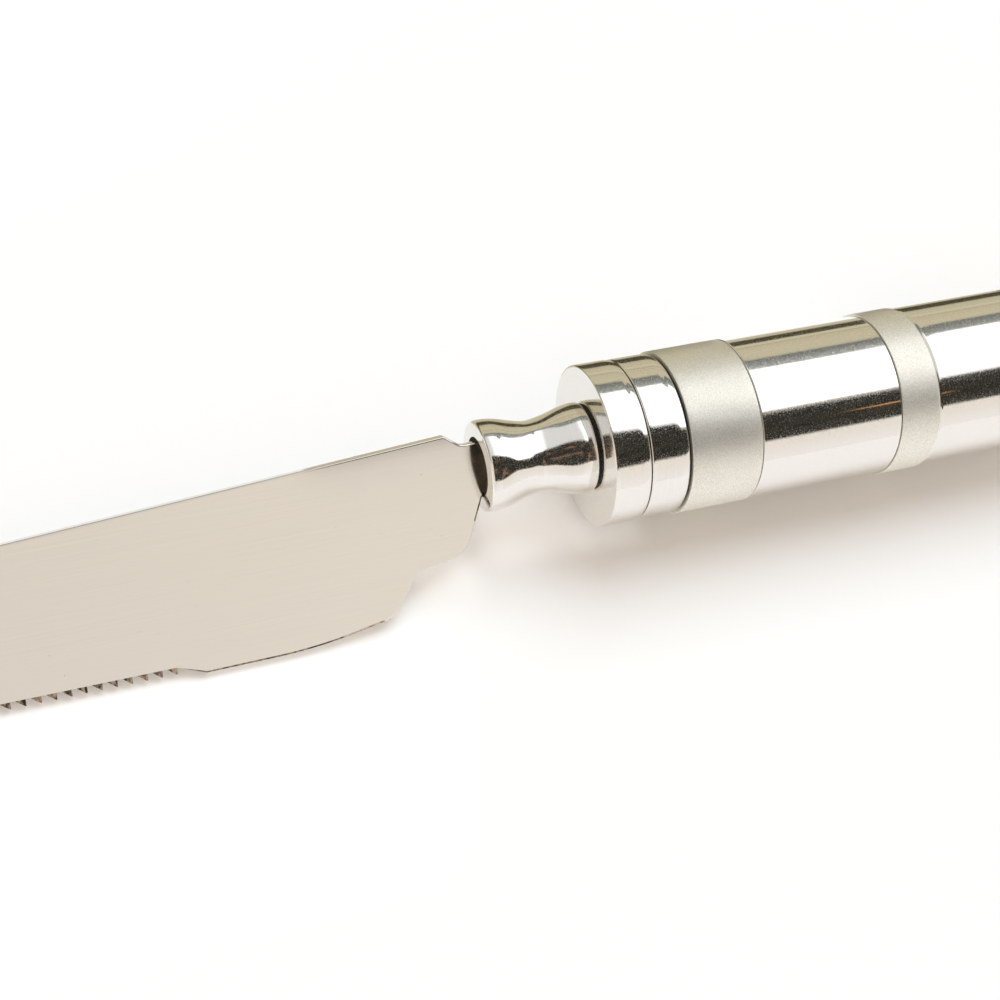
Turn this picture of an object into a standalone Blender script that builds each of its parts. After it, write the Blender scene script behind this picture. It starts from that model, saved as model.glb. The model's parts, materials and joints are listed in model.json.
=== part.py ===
"""Challah knife: a flat serrated blade in a turned neck, on a handle of stacked metal rings.

Metres, +Z up. The handle axis runs along X with the tail at +X and the tip at -X.
The knife lies as it lies on a table: the widest ring and the heel of the blade touch the ground.
"""
import math

import bmesh
import bpy
from mathutils import Vector

# Blade: distances along the axis are counted from the neck's front face towards the tip
BLADE_LENGTH = 0.2050
BLADE_THICKNESS = 0.0016
SPINE_HEIGHT = 0.0056
SPINE_SLOPE_DEGREES = 3.45
SPINE_START = 0.0053
SPINE_CORNER_RADIUS = 0.0005
NOTCH_RUN = 0.0024
NOTCH_RADIUS = 0.0016
TIP_SPINE_RADIUS = 0.0110
TIP_EDGE_RADIUS = 0.0030

# Heel: the outline steps down from the tang to the cutting edge in straight runs with round corners
SHOULDER_START = 0.0006
SHOULDER_RUN = 0.0033
SHOULDER_DROP = 0.0079
SHOULDER_RADIUS = 0.0045
LEDGE_RUN = 0.00805
LEDGE_DROP = 0.00165
STEP_RADIUS = 0.0022
RISER_RUN = 0.0038
RISER_DROP = 0.00584
HEEL_RADIUS = 0.0045
BELLY_RUN = 0.01225
BELLY_DROP = 0.0022
BELLY_RADIUS = 0.0600
PLAIN_EDGE_RUN = 0.0180
PLAIN_EDGE_DROP = 0.00015

# Serration: upright front, slanted back, a flat gullet to the next tooth, ground from one side
TOOTH_PITCH = 0.00212
TOOTH_WIDTH = 0.00145
TOOTH_DEPTH = 0.0009
SERRATION_SETBACK = 0.00065
EDGE_BOW = 0.0003
BEVEL_HEIGHT = 0.0011
EDGE_LAND = 0.0004

# Tang: a wide root that shows in the neck's mouth, then a narrower stub in the filler
TANG_ROOT = 0.0024
TANG_DEPTH = 0.0100
TANG_TOP_CUT = 0.0007
TANG_STUB_HEIGHT = 0.0060

# Neck: a spool whose radius follows one cosine wave along its length
NECK_LENGTH = 0.0161
NECK_MEAN_RADIUS = 0.00623
NECK_WAVE = 0.00066
NECK_WAVE_LENGTH = 0.01435
NECK_WALL = 0.00067
NECK_EDGE = 0.0002
NECK_SOCKET_DEPTH = 0.0106
FILLER_RECESS = 0.0034

# Handle stack, blade end to tail
NECK_WASHER_THICKNESS = 0.0003
NECK_WASHER_SETBACK = 0.0003
FRONT_RING_LENGTH = 0.0056
FRONT_RING_RADIUS = 0.01235
SECOND_RING_LENGTH = 0.0059
SECOND_RING_RADIUS = 0.01225
SPACER_THICKNESS = 0.0003
SPACER_SETBACK = 0.0005
SATIN_RING_LENGTH = 0.0113
SATIN_RING_RADIUS = 0.0125
FRONT_SLEEVE_LENGTH = 0.0231
FRONT_SLEEVE_RADIUS = 0.0125
SATIN_BAND_LENGTH = 0.0063
SATIN_BAND_RADIUS = 0.01275
REAR_SLEEVE_LENGTH = 0.0194
REAR_SLEEVE_RADIUS = 0.0125
TAIL_CAP_WALL = 0.0020
POLISHED_EDGE = 0.0004
SATIN_EDGE = 0.0002

# Core: a tube under the rings, and a rod that clamps the stack
CORE_TUBE_RADIUS = 0.0080
CORE_TUBE_WALL = 0.0012
CORE_SEAT_DEPTH = 0.0020
TIE_ROD_RADIUS = 0.0030
ROD_TO_FILLER = 0.0011
BUSH_LENGTH = 0.0060
BUSH_FLANGE = 0.0015
CLAMP_WASHER_RADIUS = 0.0058
CLAMP_WASHER_THICKNESS = 0.0010
CLAMP_NUT_FLATS = 0.0100
CLAMP_NUT_HEIGHT = 0.0032
ROD_END_PROUD = 0.0006
TAIL_SPIGOT_LENGTH = 0.0015

# Clearances
STACK_GAP = 0.0001
SLIDE_FIT = 0.00015
BLADE_FIT = 0.0003

# Roundness of the turned pieces and of the outline's corners, and how meshes are closed and shaded
OUTER_SEGMENTS = 40
INNER_SEGMENTS = 24
NECK_STEPS = 12
ARC_STEP_DEGREES = 15.0
ARC_LEAST_STEPS = 3
FILLET_SHARE_OF_SIDE = 0.48
WELD_DISTANCE = 1e-6
SHARP_ANGLE_DEGREES = 30.0


def neck_radius(distance):
    """Outer radius of the neck at a distance behind its front face."""
    phase = 2.0 * math.pi * (distance - NECK_LENGTH / 2.0) / NECK_WAVE_LENGTH
    return NECK_MEAN_RADIUS - NECK_WAVE * math.cos(phase)


# Sizes that follow from the driving dimensions
NECK_BORE_RADIUS = NECK_MEAN_RADIUS - NECK_WAVE - NECK_WALL
NECK_END_RADIUS = neck_radius(0.0)
ROD_IN_NECK = NECK_LENGTH - NECK_SOCKET_DEPTH - ROD_TO_FILLER
TANG_REACH = math.sqrt((NECK_BORE_RADIUS - BLADE_FIT) ** 2 - (BLADE_THICKNESS / 2.0) ** 2)
RING_BORE_RADIUS = CORE_TUBE_RADIUS + SLIDE_FIT
ROD_BORE_RADIUS = TIE_ROD_RADIUS + SLIDE_FIT
CORE_BORE_RADIUS = CORE_TUBE_RADIUS - CORE_TUBE_WALL
TAIL_RADIUS = FRONT_RING_RADIUS

# Places along the axis, counted from the front face of the first ring
NECK_REAR = -NECK_WASHER_THICKNESS - 2.0 * STACK_GAP
NECK_FRONT = NECK_REAR - NECK_LENGTH
SECOND_RING_START = FRONT_RING_LENGTH + STACK_GAP
FRONT_SPACER_START = SECOND_RING_START + SECOND_RING_LENGTH + STACK_GAP
FRONT_SATIN_START = FRONT_SPACER_START + SPACER_THICKNESS + STACK_GAP
FRONT_SLEEVE_START = FRONT_SATIN_START + SATIN_RING_LENGTH + STACK_GAP
BAND_START = FRONT_SLEEVE_START + FRONT_SLEEVE_LENGTH + STACK_GAP
REAR_SLEEVE_START = BAND_START + SATIN_BAND_LENGTH + STACK_GAP
REAR_SATIN_START = REAR_SLEEVE_START + REAR_SLEEVE_LENGTH + STACK_GAP
REAR_SPACER_START = REAR_SATIN_START + SATIN_RING_LENGTH + STACK_GAP
REAR_RING_START = REAR_SPACER_START + SPACER_THICKNESS + STACK_GAP
TAIL_CAP_START = REAR_RING_START + SECOND_RING_LENGTH + STACK_GAP
CORE_START = FRONT_RING_LENGTH - CORE_SEAT_DEPTH + STACK_GAP
REAR_FLANGE_END = TAIL_CAP_START - TAIL_SPIGOT_LENGTH - STACK_GAP
CLAMP_WASHER_START = REAR_FLANGE_END + STACK_GAP
NUT_START = CLAMP_WASHER_START + CLAMP_WASHER_THICKNESS + STACK_GAP
ROD_END = NUT_START + CLAMP_NUT_HEIGHT + ROD_END_PROUD
CAVITY_END = ROD_END + 2.0 * STACK_GAP
REAR_FLANGE_START = REAR_FLANGE_END - BUSH_FLANGE
CORE_END = REAR_FLANGE_START - STACK_GAP


def clear_scene():
    for old in list(bpy.data.objects):
        bpy.data.objects.remove(old, do_unlink=True)


def new_collection(name):
    collection = bpy.data.collections.new(name)
    bpy.context.scene.collection.children.link(collection)
    return collection


def make_material(name, colour, metallic, roughness):
    material = bpy.data.materials.new(name)
    material.use_nodes = True
    shader = material.node_tree.nodes["Principled BSDF"]
    shader.inputs["Base Color"].default_value = (*colour, 1.0)
    shader.inputs["Metallic"].default_value = metallic
    shader.inputs["Roughness"].default_value = roughness
    return material


clear_scene()
PARTS = new_collection("challah_knife")
CUTTERS = new_collection("cutters")
POLISHED_ALUMINIUM = make_material("polished_aluminium", (0.84, 0.82, 0.79), 1.0, 0.08)
SATIN_ALUMINIUM = make_material("satin_aluminium", (0.66, 0.65, 0.61), 1.0, 0.45)
BLADE_STEEL = make_material("blade_steel", (0.72, 0.67, 0.60), 1.0, 0.22)
PLAIN_STEEL = make_material("plain_steel", (0.55, 0.55, 0.56), 1.0, 0.35)
BLACK_FIBRE = make_material("black_fibre", (0.012, 0.012, 0.012), 0.0, 0.6)
DARK_FILLER = make_material("dark_filler", (0.02, 0.018, 0.016), 0.0, 0.5)

# Every piece hangs on this empty, which lies on the handle axis at the first ring's front face
KNIFE = bpy.data.objects.new("knife_axis", None)
PARTS.objects.link(KNIFE)


def link_part(name, mesh, material, start):
    """Puts a mesh whose own axis is Z on the handle axis, at a place along it."""
    part = bpy.data.objects.new(name, mesh)
    part.location = (start, 0.0, 0.0)
    part.rotation_euler = (0.0, math.pi / 2.0, 0.0)
    part.parent = KNIFE
    mesh.materials.append(material)
    PARTS.objects.link(part)
    return part


def baked_mesh(source, name):
    """The evaluated mesh of an object, welded, with smooth rounds and sharp edges."""
    graph = bpy.context.evaluated_depsgraph_get()
    mesh = bpy.data.meshes.new_from_object(source.evaluated_get(graph))
    mesh.name = name
    work = bmesh.new()
    work.from_mesh(mesh)
    bmesh.ops.remove_doubles(work, verts=work.verts, dist=WELD_DISTANCE)
    work.to_mesh(mesh)
    work.free()
    mesh.shade_smooth()
    mesh.set_sharp_from_angle(angle=math.radians(SHARP_ANGLE_DEGREES))
    return mesh


def turned(name, profile, material, start, segments=OUTER_SEGMENTS, closed=True):
    """A turned piece. The profile's (height, radius) points run down the outside, then up the bore."""
    line = bpy.data.meshes.new(name + "_profile")
    points = [(radius, 0.0, height) for height, radius in profile]
    edges = [(i, i + 1) for i in range(len(points) - 1)]
    if closed:
        edges.append((len(points) - 1, 0))
    line.from_pydata(points, edges, [])
    blank = bpy.data.objects.new(name + "_profile", line)
    PARTS.objects.link(blank)
    screw = blank.modifiers.new("Turn", "SCREW")
    screw.axis = "Z"
    screw.steps = segments
    screw.render_steps = segments
    screw.use_merge_vertices = True
    screw.merge_threshold = WELD_DISTANCE
    mesh = baked_mesh(blank, name)
    bpy.data.objects.remove(blank, do_unlink=True)
    bpy.data.meshes.remove(line)
    return link_part(name, mesh, material, start)


def ring(name, length, radius, bore, edge, material, start, segments=OUTER_SEGMENTS):
    """A plain ring with a small chamfer on both outer edges."""
    profile = [
        (length, radius - edge),
        (length - edge, radius),
        (edge, radius),
        (0.0, radius - edge),
        (0.0, bore),
        (length, bore),
    ]
    return turned(name, profile, material, start, segments)


def cutter_box(name, size, centre):
    """A box that only cuts, in the axis frame."""
    bpy.ops.mesh.primitive_cube_add(size=1.0)
    box = bpy.context.object
    box.name = name
    box.scale = size
    box.location = centre
    for owner in list(box.users_collection):
        owner.objects.unlink(box)
    CUTTERS.objects.link(box)
    box.parent = KNIFE
    box.hide_render = True
    box.display_type = "WIRE"
    return box


def cut(part, cutter):
    boolean = part.modifiers.new("Cut", "BOOLEAN")
    boolean.operation = "DIFFERENCE"
    boolean.solver = "EXACT"
    boolean.object = cutter


def rounded(corners):
    """An outline through (x, y, radius) corners, each round drawn as an arc that its sides can hold."""
    outline = []
    for i, (x, y, radius) in enumerate(corners):
        here = Vector((x, y))
        before = Vector(corners[i - 1][:2]) - here
        after = Vector(corners[(i + 1) % len(corners)][:2]) - here
        if radius == 0.0:
            outline.append(here)
            continue
        turn = math.pi - before.angle(after)
        longest = FILLET_SHARE_OF_SIDE * min(before.length, after.length)
        tangent = min(radius * math.tan(turn / 2.0), longest)
        fitted = tangent / math.tan(turn / 2.0)
        inward = (before.normalized() + after.normalized()).normalized()
        centre = here + inward * math.hypot(fitted, tangent)
        first = here + before.normalized() * tangent - centre
        last = here + after.normalized() * tangent - centre
        sweep = first.angle_signed(last)
        steps = max(ARC_LEAST_STEPS, math.ceil(math.degrees(abs(sweep)) / ARC_STEP_DEGREES))
        for step in range(steps + 1):
            angle = -sweep * step / steps
            turned_x = first.x * math.cos(angle) - first.y * math.sin(angle)
            turned_y = first.x * math.sin(angle) + first.y * math.cos(angle)
            outline.append(centre + Vector((turned_x, turned_y)))
    return outline


def heel_corners():
    """The heel's corners from the tang down to the end of the plain edge, radius last."""
    x, y = SHOULDER_START, -TANG_REACH
    corners = [(x, y, 0.0)]
    runs = [
        (SHOULDER_RUN, SHOULDER_DROP, SHOULDER_RADIUS),
        (LEDGE_RUN, LEDGE_DROP, STEP_RADIUS),
        (RISER_RUN, RISER_DROP, HEEL_RADIUS),
        (BELLY_RUN, BELLY_DROP, BELLY_RADIUS),
        (PLAIN_EDGE_RUN, PLAIN_EDGE_DROP, 0.0),
    ]
    for run, drop, radius in runs:
        x += run
        y -= drop
        corners.append((x, y, radius))
    return corners


HEEL = heel_corners()
EDGE_DEPTH = -HEEL[-1][1]
SERRATION_START = HEEL[-1][0]
TOOTH_TIP = -EDGE_DEPTH + SERRATION_SETBACK
GULLET = TOOTH_TIP + TOOTH_DEPTH
SERRATION_END = BLADE_LENGTH - TIP_EDGE_RADIUS - TOOTH_PITCH


def edge_bow(distance):
    """How far the toothed edge bows down at a distance from the neck."""
    share = (distance - SERRATION_START) / (BLADE_LENGTH - SERRATION_START)
    return EDGE_BOW * 4.0 * share * (1.0 - share)


def tooth_corners():
    """Saw teeth from the plain edge to the tip's round."""
    count = int((SERRATION_END - SERRATION_START) / TOOTH_PITCH)
    gap = TOOTH_PITCH - TOOTH_WIDTH
    corners = []
    for i in range(count):
        foot = SERRATION_START + gap + i * TOOTH_PITCH
        back = foot + TOOTH_WIDTH
        corners.append((foot, GULLET - edge_bow(foot), 0.0))
        corners.append((foot, TOOTH_TIP - edge_bow(foot), 0.0))
        corners.append((back, GULLET - edge_bow(back), 0.0))
    return corners


def make_blade():
    stub = TANG_STUB_HEIGHT / 2.0
    tang_top = TANG_REACH - TANG_TOP_CUT
    fall = math.tan(math.radians(SPINE_SLOPE_DEGREES)) * (BLADE_LENGTH - SPINE_START)
    tang_below = [(-TANG_DEPTH, -stub, 0.0), (-TANG_ROOT, -stub, 0.0), (-TANG_ROOT, -TANG_REACH, 0.0)]
    tip = [
        (BLADE_LENGTH, GULLET, TIP_EDGE_RADIUS),
        (BLADE_LENGTH, SPINE_HEIGHT - fall, TIP_SPINE_RADIUS),
    ]
    spine = [
        (SPINE_START, SPINE_HEIGHT, SPINE_CORNER_RADIUS),
        (SPINE_START - NOTCH_RUN, tang_top, NOTCH_RADIUS),
    ]
    tang_above = [(-TANG_ROOT, tang_top, 0.0), (-TANG_ROOT, stub, 0.0), (-TANG_DEPTH, stub, 0.0)]
    step_up = [(SERRATION_START, GULLET, 0.0)]
    corners = tang_below + HEEL + step_up + tooth_corners() + tip + spine + tang_above

    curve = bpy.data.curves.new("blade_outline", "CURVE")
    curve.dimensions = "2D"
    curve.fill_mode = "BOTH"
    curve.extrude = BLADE_THICKNESS / 2.0
    points = rounded(corners)
    spline = curve.splines.new("POLY")
    spline.points.add(len(points) - 1)
    for place, point in zip(spline.points, points):
        place.co = (-point.x, point.y, 0.0, 1.0)
    spline.use_cyclic_u = True
    blank = bpy.data.objects.new("blade_outline", curve)
    PARTS.objects.link(blank)
    mesh = baked_mesh(blank, "blade")
    bpy.data.objects.remove(blank, do_unlink=True)

    blade = link_part("blade", mesh, BLADE_STEEL, NECK_FRONT)
    blade.rotation_euler = (math.pi / 2.0, 0.0, 0.0)
    cut(blade, bevel_cutter())
    return blade


def bevel_cutter():
    """A long box, tilted so that it grinds the toothed edge from the front face only."""
    grind_depth = BLADE_THICKNESS - EDGE_LAND
    tilt = math.atan2(grind_depth, BEVEL_HEIGHT)
    length = BLADE_LENGTH - SERRATION_START + BLADE_THICKNESS
    middle = NECK_FRONT - SERRATION_START - length / 2.0
    bevel_top = TOOTH_TIP + BEVEL_HEIGHT
    # The ground face is this wide, so the box reaches past the edge below and clear of the blade in front
    width = 2.0 * math.hypot(grind_depth, BEVEL_HEIGHT)
    down = Vector((0.0, math.sin(tilt), -math.cos(tilt)))
    outward = Vector((0.0, -math.cos(tilt), -math.sin(tilt)))
    face_point = Vector((middle, -BLADE_THICKNESS / 2.0, bevel_top))
    centre = face_point + (down + outward) * width / 2.0
    box = cutter_box("bevel_cutter", (length, width, width), centre)
    box.rotation_euler = (tilt, 0.0, 0.0)
    return box


def make_neck():
    """Spool with a socket for the tang in front and a threaded hole for the rod behind."""
    wave = []
    for i in range(NECK_STEPS + 1):
        distance = NECK_LENGTH - NECK_EDGE - i * (NECK_LENGTH - 2.0 * NECK_EDGE) / NECK_STEPS
        wave.append((distance, neck_radius(distance)))
    profile = [(NECK_LENGTH, NECK_END_RADIUS - NECK_EDGE)] + wave + [
        (0.0, NECK_END_RADIUS - NECK_EDGE),
        (0.0, NECK_BORE_RADIUS),
        (NECK_SOCKET_DEPTH, NECK_BORE_RADIUS),
        (NECK_SOCKET_DEPTH, ROD_BORE_RADIUS),
        (NECK_LENGTH, ROD_BORE_RADIUS),
    ]
    return turned("neck", profile, POLISHED_ALUMINIUM, NECK_FRONT)


def make_tang_bond():
    """Filler in the neck's socket, slotted for the tang's stub."""
    length = NECK_SOCKET_DEPTH - FILLER_RECESS - STACK_GAP
    radius = NECK_BORE_RADIUS - STACK_GAP
    profile = [(length, 0.0), (length, radius), (0.0, radius), (0.0, 0.0)]
    start = NECK_FRONT + FILLER_RECESS
    bond = turned("tang_bond", profile, DARK_FILLER, start, INNER_SEGMENTS, closed=False)
    slot_end = NECK_FRONT + TANG_DEPTH + BLADE_FIT
    slot_length = 2.0 * (slot_end - start)
    slot_size = (slot_length, BLADE_THICKNESS + 2.0 * BLADE_FIT, TANG_STUB_HEIGHT + 2.0 * BLADE_FIT)
    cut(bond, cutter_box("tang_slot", slot_size, (start, 0.0, 0.0)))
    return bond


def make_front_ring():
    """First ring: a flat mirror face in front, a seat for the core tube behind."""
    length, edge = FRONT_RING_LENGTH, POLISHED_EDGE
    profile = [
        (length, FRONT_RING_RADIUS - edge),
        (length - edge, FRONT_RING_RADIUS),
        (edge, FRONT_RING_RADIUS),
        (0.0, FRONT_RING_RADIUS - edge),
        (0.0, ROD_BORE_RADIUS),
        (length - CORE_SEAT_DEPTH, ROD_BORE_RADIUS),
        (length - CORE_SEAT_DEPTH, RING_BORE_RADIUS),
        (length, RING_BORE_RADIUS),
    ]
    return turned("front_ring", profile, POLISHED_ALUMINIUM, 0.0)


def make_stack():
    """Rings, sleeves and black spacers on the core tube, blade end to tail."""
    bore = RING_BORE_RADIUS
    polished, satin, black = POLISHED_ALUMINIUM, SATIN_ALUMINIUM, BLACK_FIBRE
    spacer = min(SECOND_RING_RADIUS, SATIN_RING_RADIUS) - SPACER_SETBACK
    washer = NECK_END_RADIUS - NECK_WASHER_SETBACK
    shine, soft = POLISHED_EDGE, SATIN_EDGE
    thin = SPACER_THICKNESS / 4.0
    washer_start = NECK_REAR + STACK_GAP
    washer_edge = NECK_WASHER_THICKNESS / 4.0
    ring("neck_washer", NECK_WASHER_THICKNESS, washer, ROD_BORE_RADIUS, washer_edge, black, washer_start)
    ring("second_ring", SECOND_RING_LENGTH, SECOND_RING_RADIUS, bore, shine, polished, SECOND_RING_START)
    ring("front_spacer", SPACER_THICKNESS, spacer, bore, thin, black, FRONT_SPACER_START)
    ring("front_satin_ring", SATIN_RING_LENGTH, SATIN_RING_RADIUS, bore, soft, satin, FRONT_SATIN_START)
    ring("front_sleeve", FRONT_SLEEVE_LENGTH, FRONT_SLEEVE_RADIUS, bore, soft, polished, FRONT_SLEEVE_START)
    ring("satin_band", SATIN_BAND_LENGTH, SATIN_BAND_RADIUS, bore, soft, satin, BAND_START)
    ring("rear_sleeve", REAR_SLEEVE_LENGTH, REAR_SLEEVE_RADIUS, bore, shine, polished, REAR_SLEEVE_START)
    ring("rear_satin_ring", SATIN_RING_LENGTH, SATIN_RING_RADIUS, bore, soft, satin, REAR_SATIN_START)
    ring("rear_spacer", SPACER_THICKNESS, spacer, bore, thin, black, REAR_SPACER_START)
    ring("rear_ring", SECOND_RING_LENGTH, SECOND_RING_RADIUS, bore, shine, polished, REAR_RING_START)


def make_tail_cap():
    """Cup that plugs into the rear ring and hides the clamp nut."""
    edge = POLISHED_EDGE
    start = TAIL_CAP_START - TAIL_SPIGOT_LENGTH
    depth = CAVITY_END - start
    total = depth + TAIL_CAP_WALL
    cavity = max(CLAMP_WASHER_RADIUS, CLAMP_NUT_FLATS / math.sqrt(3.0)) + SLIDE_FIT
    profile = [
        (total, 0.0),
        (total, TAIL_RADIUS - edge),
        (total - edge, TAIL_RADIUS),
        (TAIL_SPIGOT_LENGTH + edge, TAIL_RADIUS),
        (TAIL_SPIGOT_LENGTH, TAIL_RADIUS - edge),
        (TAIL_SPIGOT_LENGTH, CORE_TUBE_RADIUS),
        (0.0, CORE_TUBE_RADIUS),
        (0.0, cavity),
        (depth, cavity),
        (depth, 0.0),
    ]
    return turned("tail_cap", profile, POLISHED_ALUMINIUM, start, closed=False)


def make_bush(name, flange_length, plug_length, flange_first, start):
    """A plug that fits the core tube's bore, with a flange that covers the tube's end."""
    plug = CORE_BORE_RADIUS - SLIDE_FIT
    flange = CORE_TUBE_RADIUS
    total = flange_length + plug_length
    if flange_first:
        outside = [(total, plug), (flange_length, plug), (flange_length, flange), (0.0, flange)]
    else:
        outside = [(total, flange), (plug_length, flange), (plug_length, plug), (0.0, plug)]
    profile = outside + [(0.0, ROD_BORE_RADIUS), (total, ROD_BORE_RADIUS)]
    return turned(name, profile, PLAIN_STEEL, start, INNER_SEGMENTS)


def make_core():
    """Core tube, its two bushes, the tie rod and its nut and washer."""
    tube_start = CORE_START + BUSH_FLANGE + STACK_GAP
    tube_length = CORE_END - tube_start
    tube = [
        (tube_length, CORE_TUBE_RADIUS),
        (0.0, CORE_TUBE_RADIUS),
        (0.0, CORE_BORE_RADIUS),
        (tube_length, CORE_BORE_RADIUS),
    ]
    turned("core_tube", tube, SATIN_ALUMINIUM, tube_start, INNER_SEGMENTS)
    make_bush("front_bush", BUSH_FLANGE, BUSH_LENGTH, True, CORE_START)
    make_bush("rear_bush", BUSH_FLANGE, BUSH_LENGTH, False, REAR_FLANGE_START - BUSH_LENGTH)

    rod_start = NECK_REAR - ROD_IN_NECK
    rod_length = ROD_END - rod_start
    rod = [(rod_length, 0.0), (rod_length, TIE_ROD_RADIUS), (0.0, TIE_ROD_RADIUS), (0.0, 0.0)]
    turned("tie_rod", rod, PLAIN_STEEL, rod_start, INNER_SEGMENTS, closed=False)

    washer = [
        (CLAMP_WASHER_THICKNESS, CLAMP_WASHER_RADIUS),
        (0.0, CLAMP_WASHER_RADIUS),
        (0.0, ROD_BORE_RADIUS),
        (CLAMP_WASHER_THICKNESS, ROD_BORE_RADIUS),
    ]
    turned("clamp_washer", washer, PLAIN_STEEL, CLAMP_WASHER_START, INNER_SEGMENTS)
    make_clamp_nut()


def make_clamp_nut():
    """A hexagon nut: a six-sided prism with a round bore cut through it."""
    corner = CLAMP_NUT_FLATS / math.sqrt(3.0)
    prism = [(CLAMP_NUT_HEIGHT, 0.0), (CLAMP_NUT_HEIGHT, corner), (0.0, corner), (0.0, 0.0)]
    nut = turned("clamp_nut", prism, PLAIN_STEEL, NUT_START, segments=6, closed=False)
    height = 3.0 * CLAMP_NUT_HEIGHT
    bore = [(height, 0.0), (height, ROD_BORE_RADIUS), (0.0, ROD_BORE_RADIUS), (0.0, 0.0)]
    drill = turned("nut_bore", bore, PLAIN_STEEL, NUT_START - CLAMP_NUT_HEIGHT, INNER_SEGMENTS, closed=False)
    PARTS.objects.unlink(drill)
    CUTTERS.objects.link(drill)
    drill.hide_render = True
    drill.display_type = "WIRE"
    cut(nut, drill)
    return nut


def lean_angle():
    """How far the blade leans so that its heel and the widest ring touch one table."""
    widest = max(FRONT_RING_RADIUS, SECOND_RING_RADIUS, SATIN_RING_RADIUS, FRONT_SLEEVE_RADIUS,
                 SATIN_BAND_RADIUS, REAR_SLEEVE_RADIUS)
    half = BLADE_THICKNESS / 2.0
    lowest = max(EDGE_DEPTH, EDGE_BOW - TOOTH_TIP)
    reach = math.hypot(lowest, half)
    return math.acos(min(1.0, widest / reach)) + math.atan2(half, lowest)


def lay_on_table():
    """Leans the knife and moves it so that its box stands centred on the origin."""
    KNIFE.rotation_euler = (-lean_angle(), 0.0, 0.0)
    bpy.context.view_layer.update()
    corners = []
    graph = bpy.context.evaluated_depsgraph_get()
    for part in PARTS.objects:
        if part.type == "MESH":
            shape = part.evaluated_get(graph)
            corners += [part.matrix_world @ vertex.co for vertex in shape.data.vertices]
    low = [min(corner[i] for corner in corners) for i in range(3)]
    high = [max(corner[i] for corner in corners) for i in range(3)]
    KNIFE.location = (-(low[0] + high[0]) / 2.0, -(low[1] + high[1]) / 2.0, -low[2])
    bpy.context.view_layer.update()


make_blade()
make_neck()
make_tang_bond()
make_front_ring()
make_stack()
make_tail_cap()
make_core()
lay_on_table()
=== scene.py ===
# %% [markdown]
# # A challah knife on a white table
# A flat stainless blade sits in a turned neck, and the handle is a stack of polished and
# bead-blasted aluminium rings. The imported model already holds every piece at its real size.
# This lesson dresses it: each part that shows is modelled again with fine rounds and soft edges,
# and each finish is built from nodes.

# %% Load the fixed frame
import json
import math

import bpy
from mathutils import Matrix, Vector


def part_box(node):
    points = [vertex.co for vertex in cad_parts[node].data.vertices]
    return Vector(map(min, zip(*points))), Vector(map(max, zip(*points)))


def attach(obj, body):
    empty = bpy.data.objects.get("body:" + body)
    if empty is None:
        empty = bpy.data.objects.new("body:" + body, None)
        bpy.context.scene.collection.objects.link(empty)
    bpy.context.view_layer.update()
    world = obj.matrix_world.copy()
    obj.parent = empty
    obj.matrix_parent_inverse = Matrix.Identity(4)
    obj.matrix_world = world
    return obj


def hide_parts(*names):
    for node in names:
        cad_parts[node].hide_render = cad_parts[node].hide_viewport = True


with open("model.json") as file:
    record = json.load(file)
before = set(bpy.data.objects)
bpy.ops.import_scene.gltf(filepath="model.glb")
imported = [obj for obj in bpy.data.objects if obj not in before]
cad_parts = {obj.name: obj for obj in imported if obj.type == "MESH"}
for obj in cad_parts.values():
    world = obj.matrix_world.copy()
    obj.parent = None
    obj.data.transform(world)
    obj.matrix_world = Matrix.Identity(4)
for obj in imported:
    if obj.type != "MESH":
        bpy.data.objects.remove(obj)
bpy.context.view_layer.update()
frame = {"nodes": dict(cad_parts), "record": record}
MM = 0.001
print("frame has", len(frame["nodes"]), "nodes")

# %% [markdown]
# ## Where the knife lies
# The knife lies with its blade leaning over, which makes every turned piece awkward to model in
# place. It is easier to model around a level X axis and lay the finished mesh down at the end.
# The frame gives all that is needed: the first ring's box gives the axis, and the flat side of
# the blade, which the record lists as a mount, gives the lean.

# %% The axis and the lean, read from the frame
ring_low, ring_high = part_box("front_ring")
ring_middle = (ring_low + ring_high) / 2.0
axis_point = Vector((ring_low.x, ring_middle.y, ring_middle.z))
blade_side = next(m for m in frame["record"]["mounts"] if m["name"] == "blade_side")
face_normal = Vector(blade_side["axis"])
lean = math.atan2(face_normal.z, -face_normal.y)
table_pose = Matrix.Translation(axis_point) @ Matrix.Rotation(-lean, 4, "X")


def stretch(node):
    """Start and end of a node along the handle axis, and its outer radius, in axis coordinates."""
    low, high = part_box(node)
    return low.x - axis_point.x, high.x - axis_point.x, (high.z - low.z) / 2.0


print("axis at", [round(c / MM, 2) for c in axis_point], "mm")
print("blade leans by", round(math.degrees(lean), 1), "degrees")

# %% [markdown]
# ## Small tools for every finish
# Colours are written as the hex values that a colour picker shows, so one function turns them
# into the linear numbers that shaders use. A second function adds a node, sets it and links it,
# which keeps each material readable as a recipe. The others turn millimetres into a texture's
# scale, start a material and fill a colour ramp.


# %% Colour and node helpers
def linear(hex_code):
    """Linear RGBA from an sRGB hex value."""
    channels = [int(hex_code[i:i + 2], 16) / 255.0 for i in (1, 3, 5)]
    return [c / 12.92 if c <= 0.04045 else ((c + 0.055) / 1.055) ** 2.4 for c in channels] + [1.0]


def add(tree, kind, links=None, values=None, **settings):
    """Adds a node, sets its properties and socket values, and links sockets from other nodes."""
    node = tree.nodes.new(kind)
    for key, value in settings.items():
        setattr(node, key, value)
    for socket, value in (values or {}).items():
        node.inputs[socket].default_value = value
    for socket, source in (links or {}).items():
        tree.links.new(source, node.inputs[socket])
    return node


def per_metre(size_mm):
    """Texture scale that makes one feature this many millimetres wide."""
    return 1.0 / (size_mm * MM)


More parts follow.
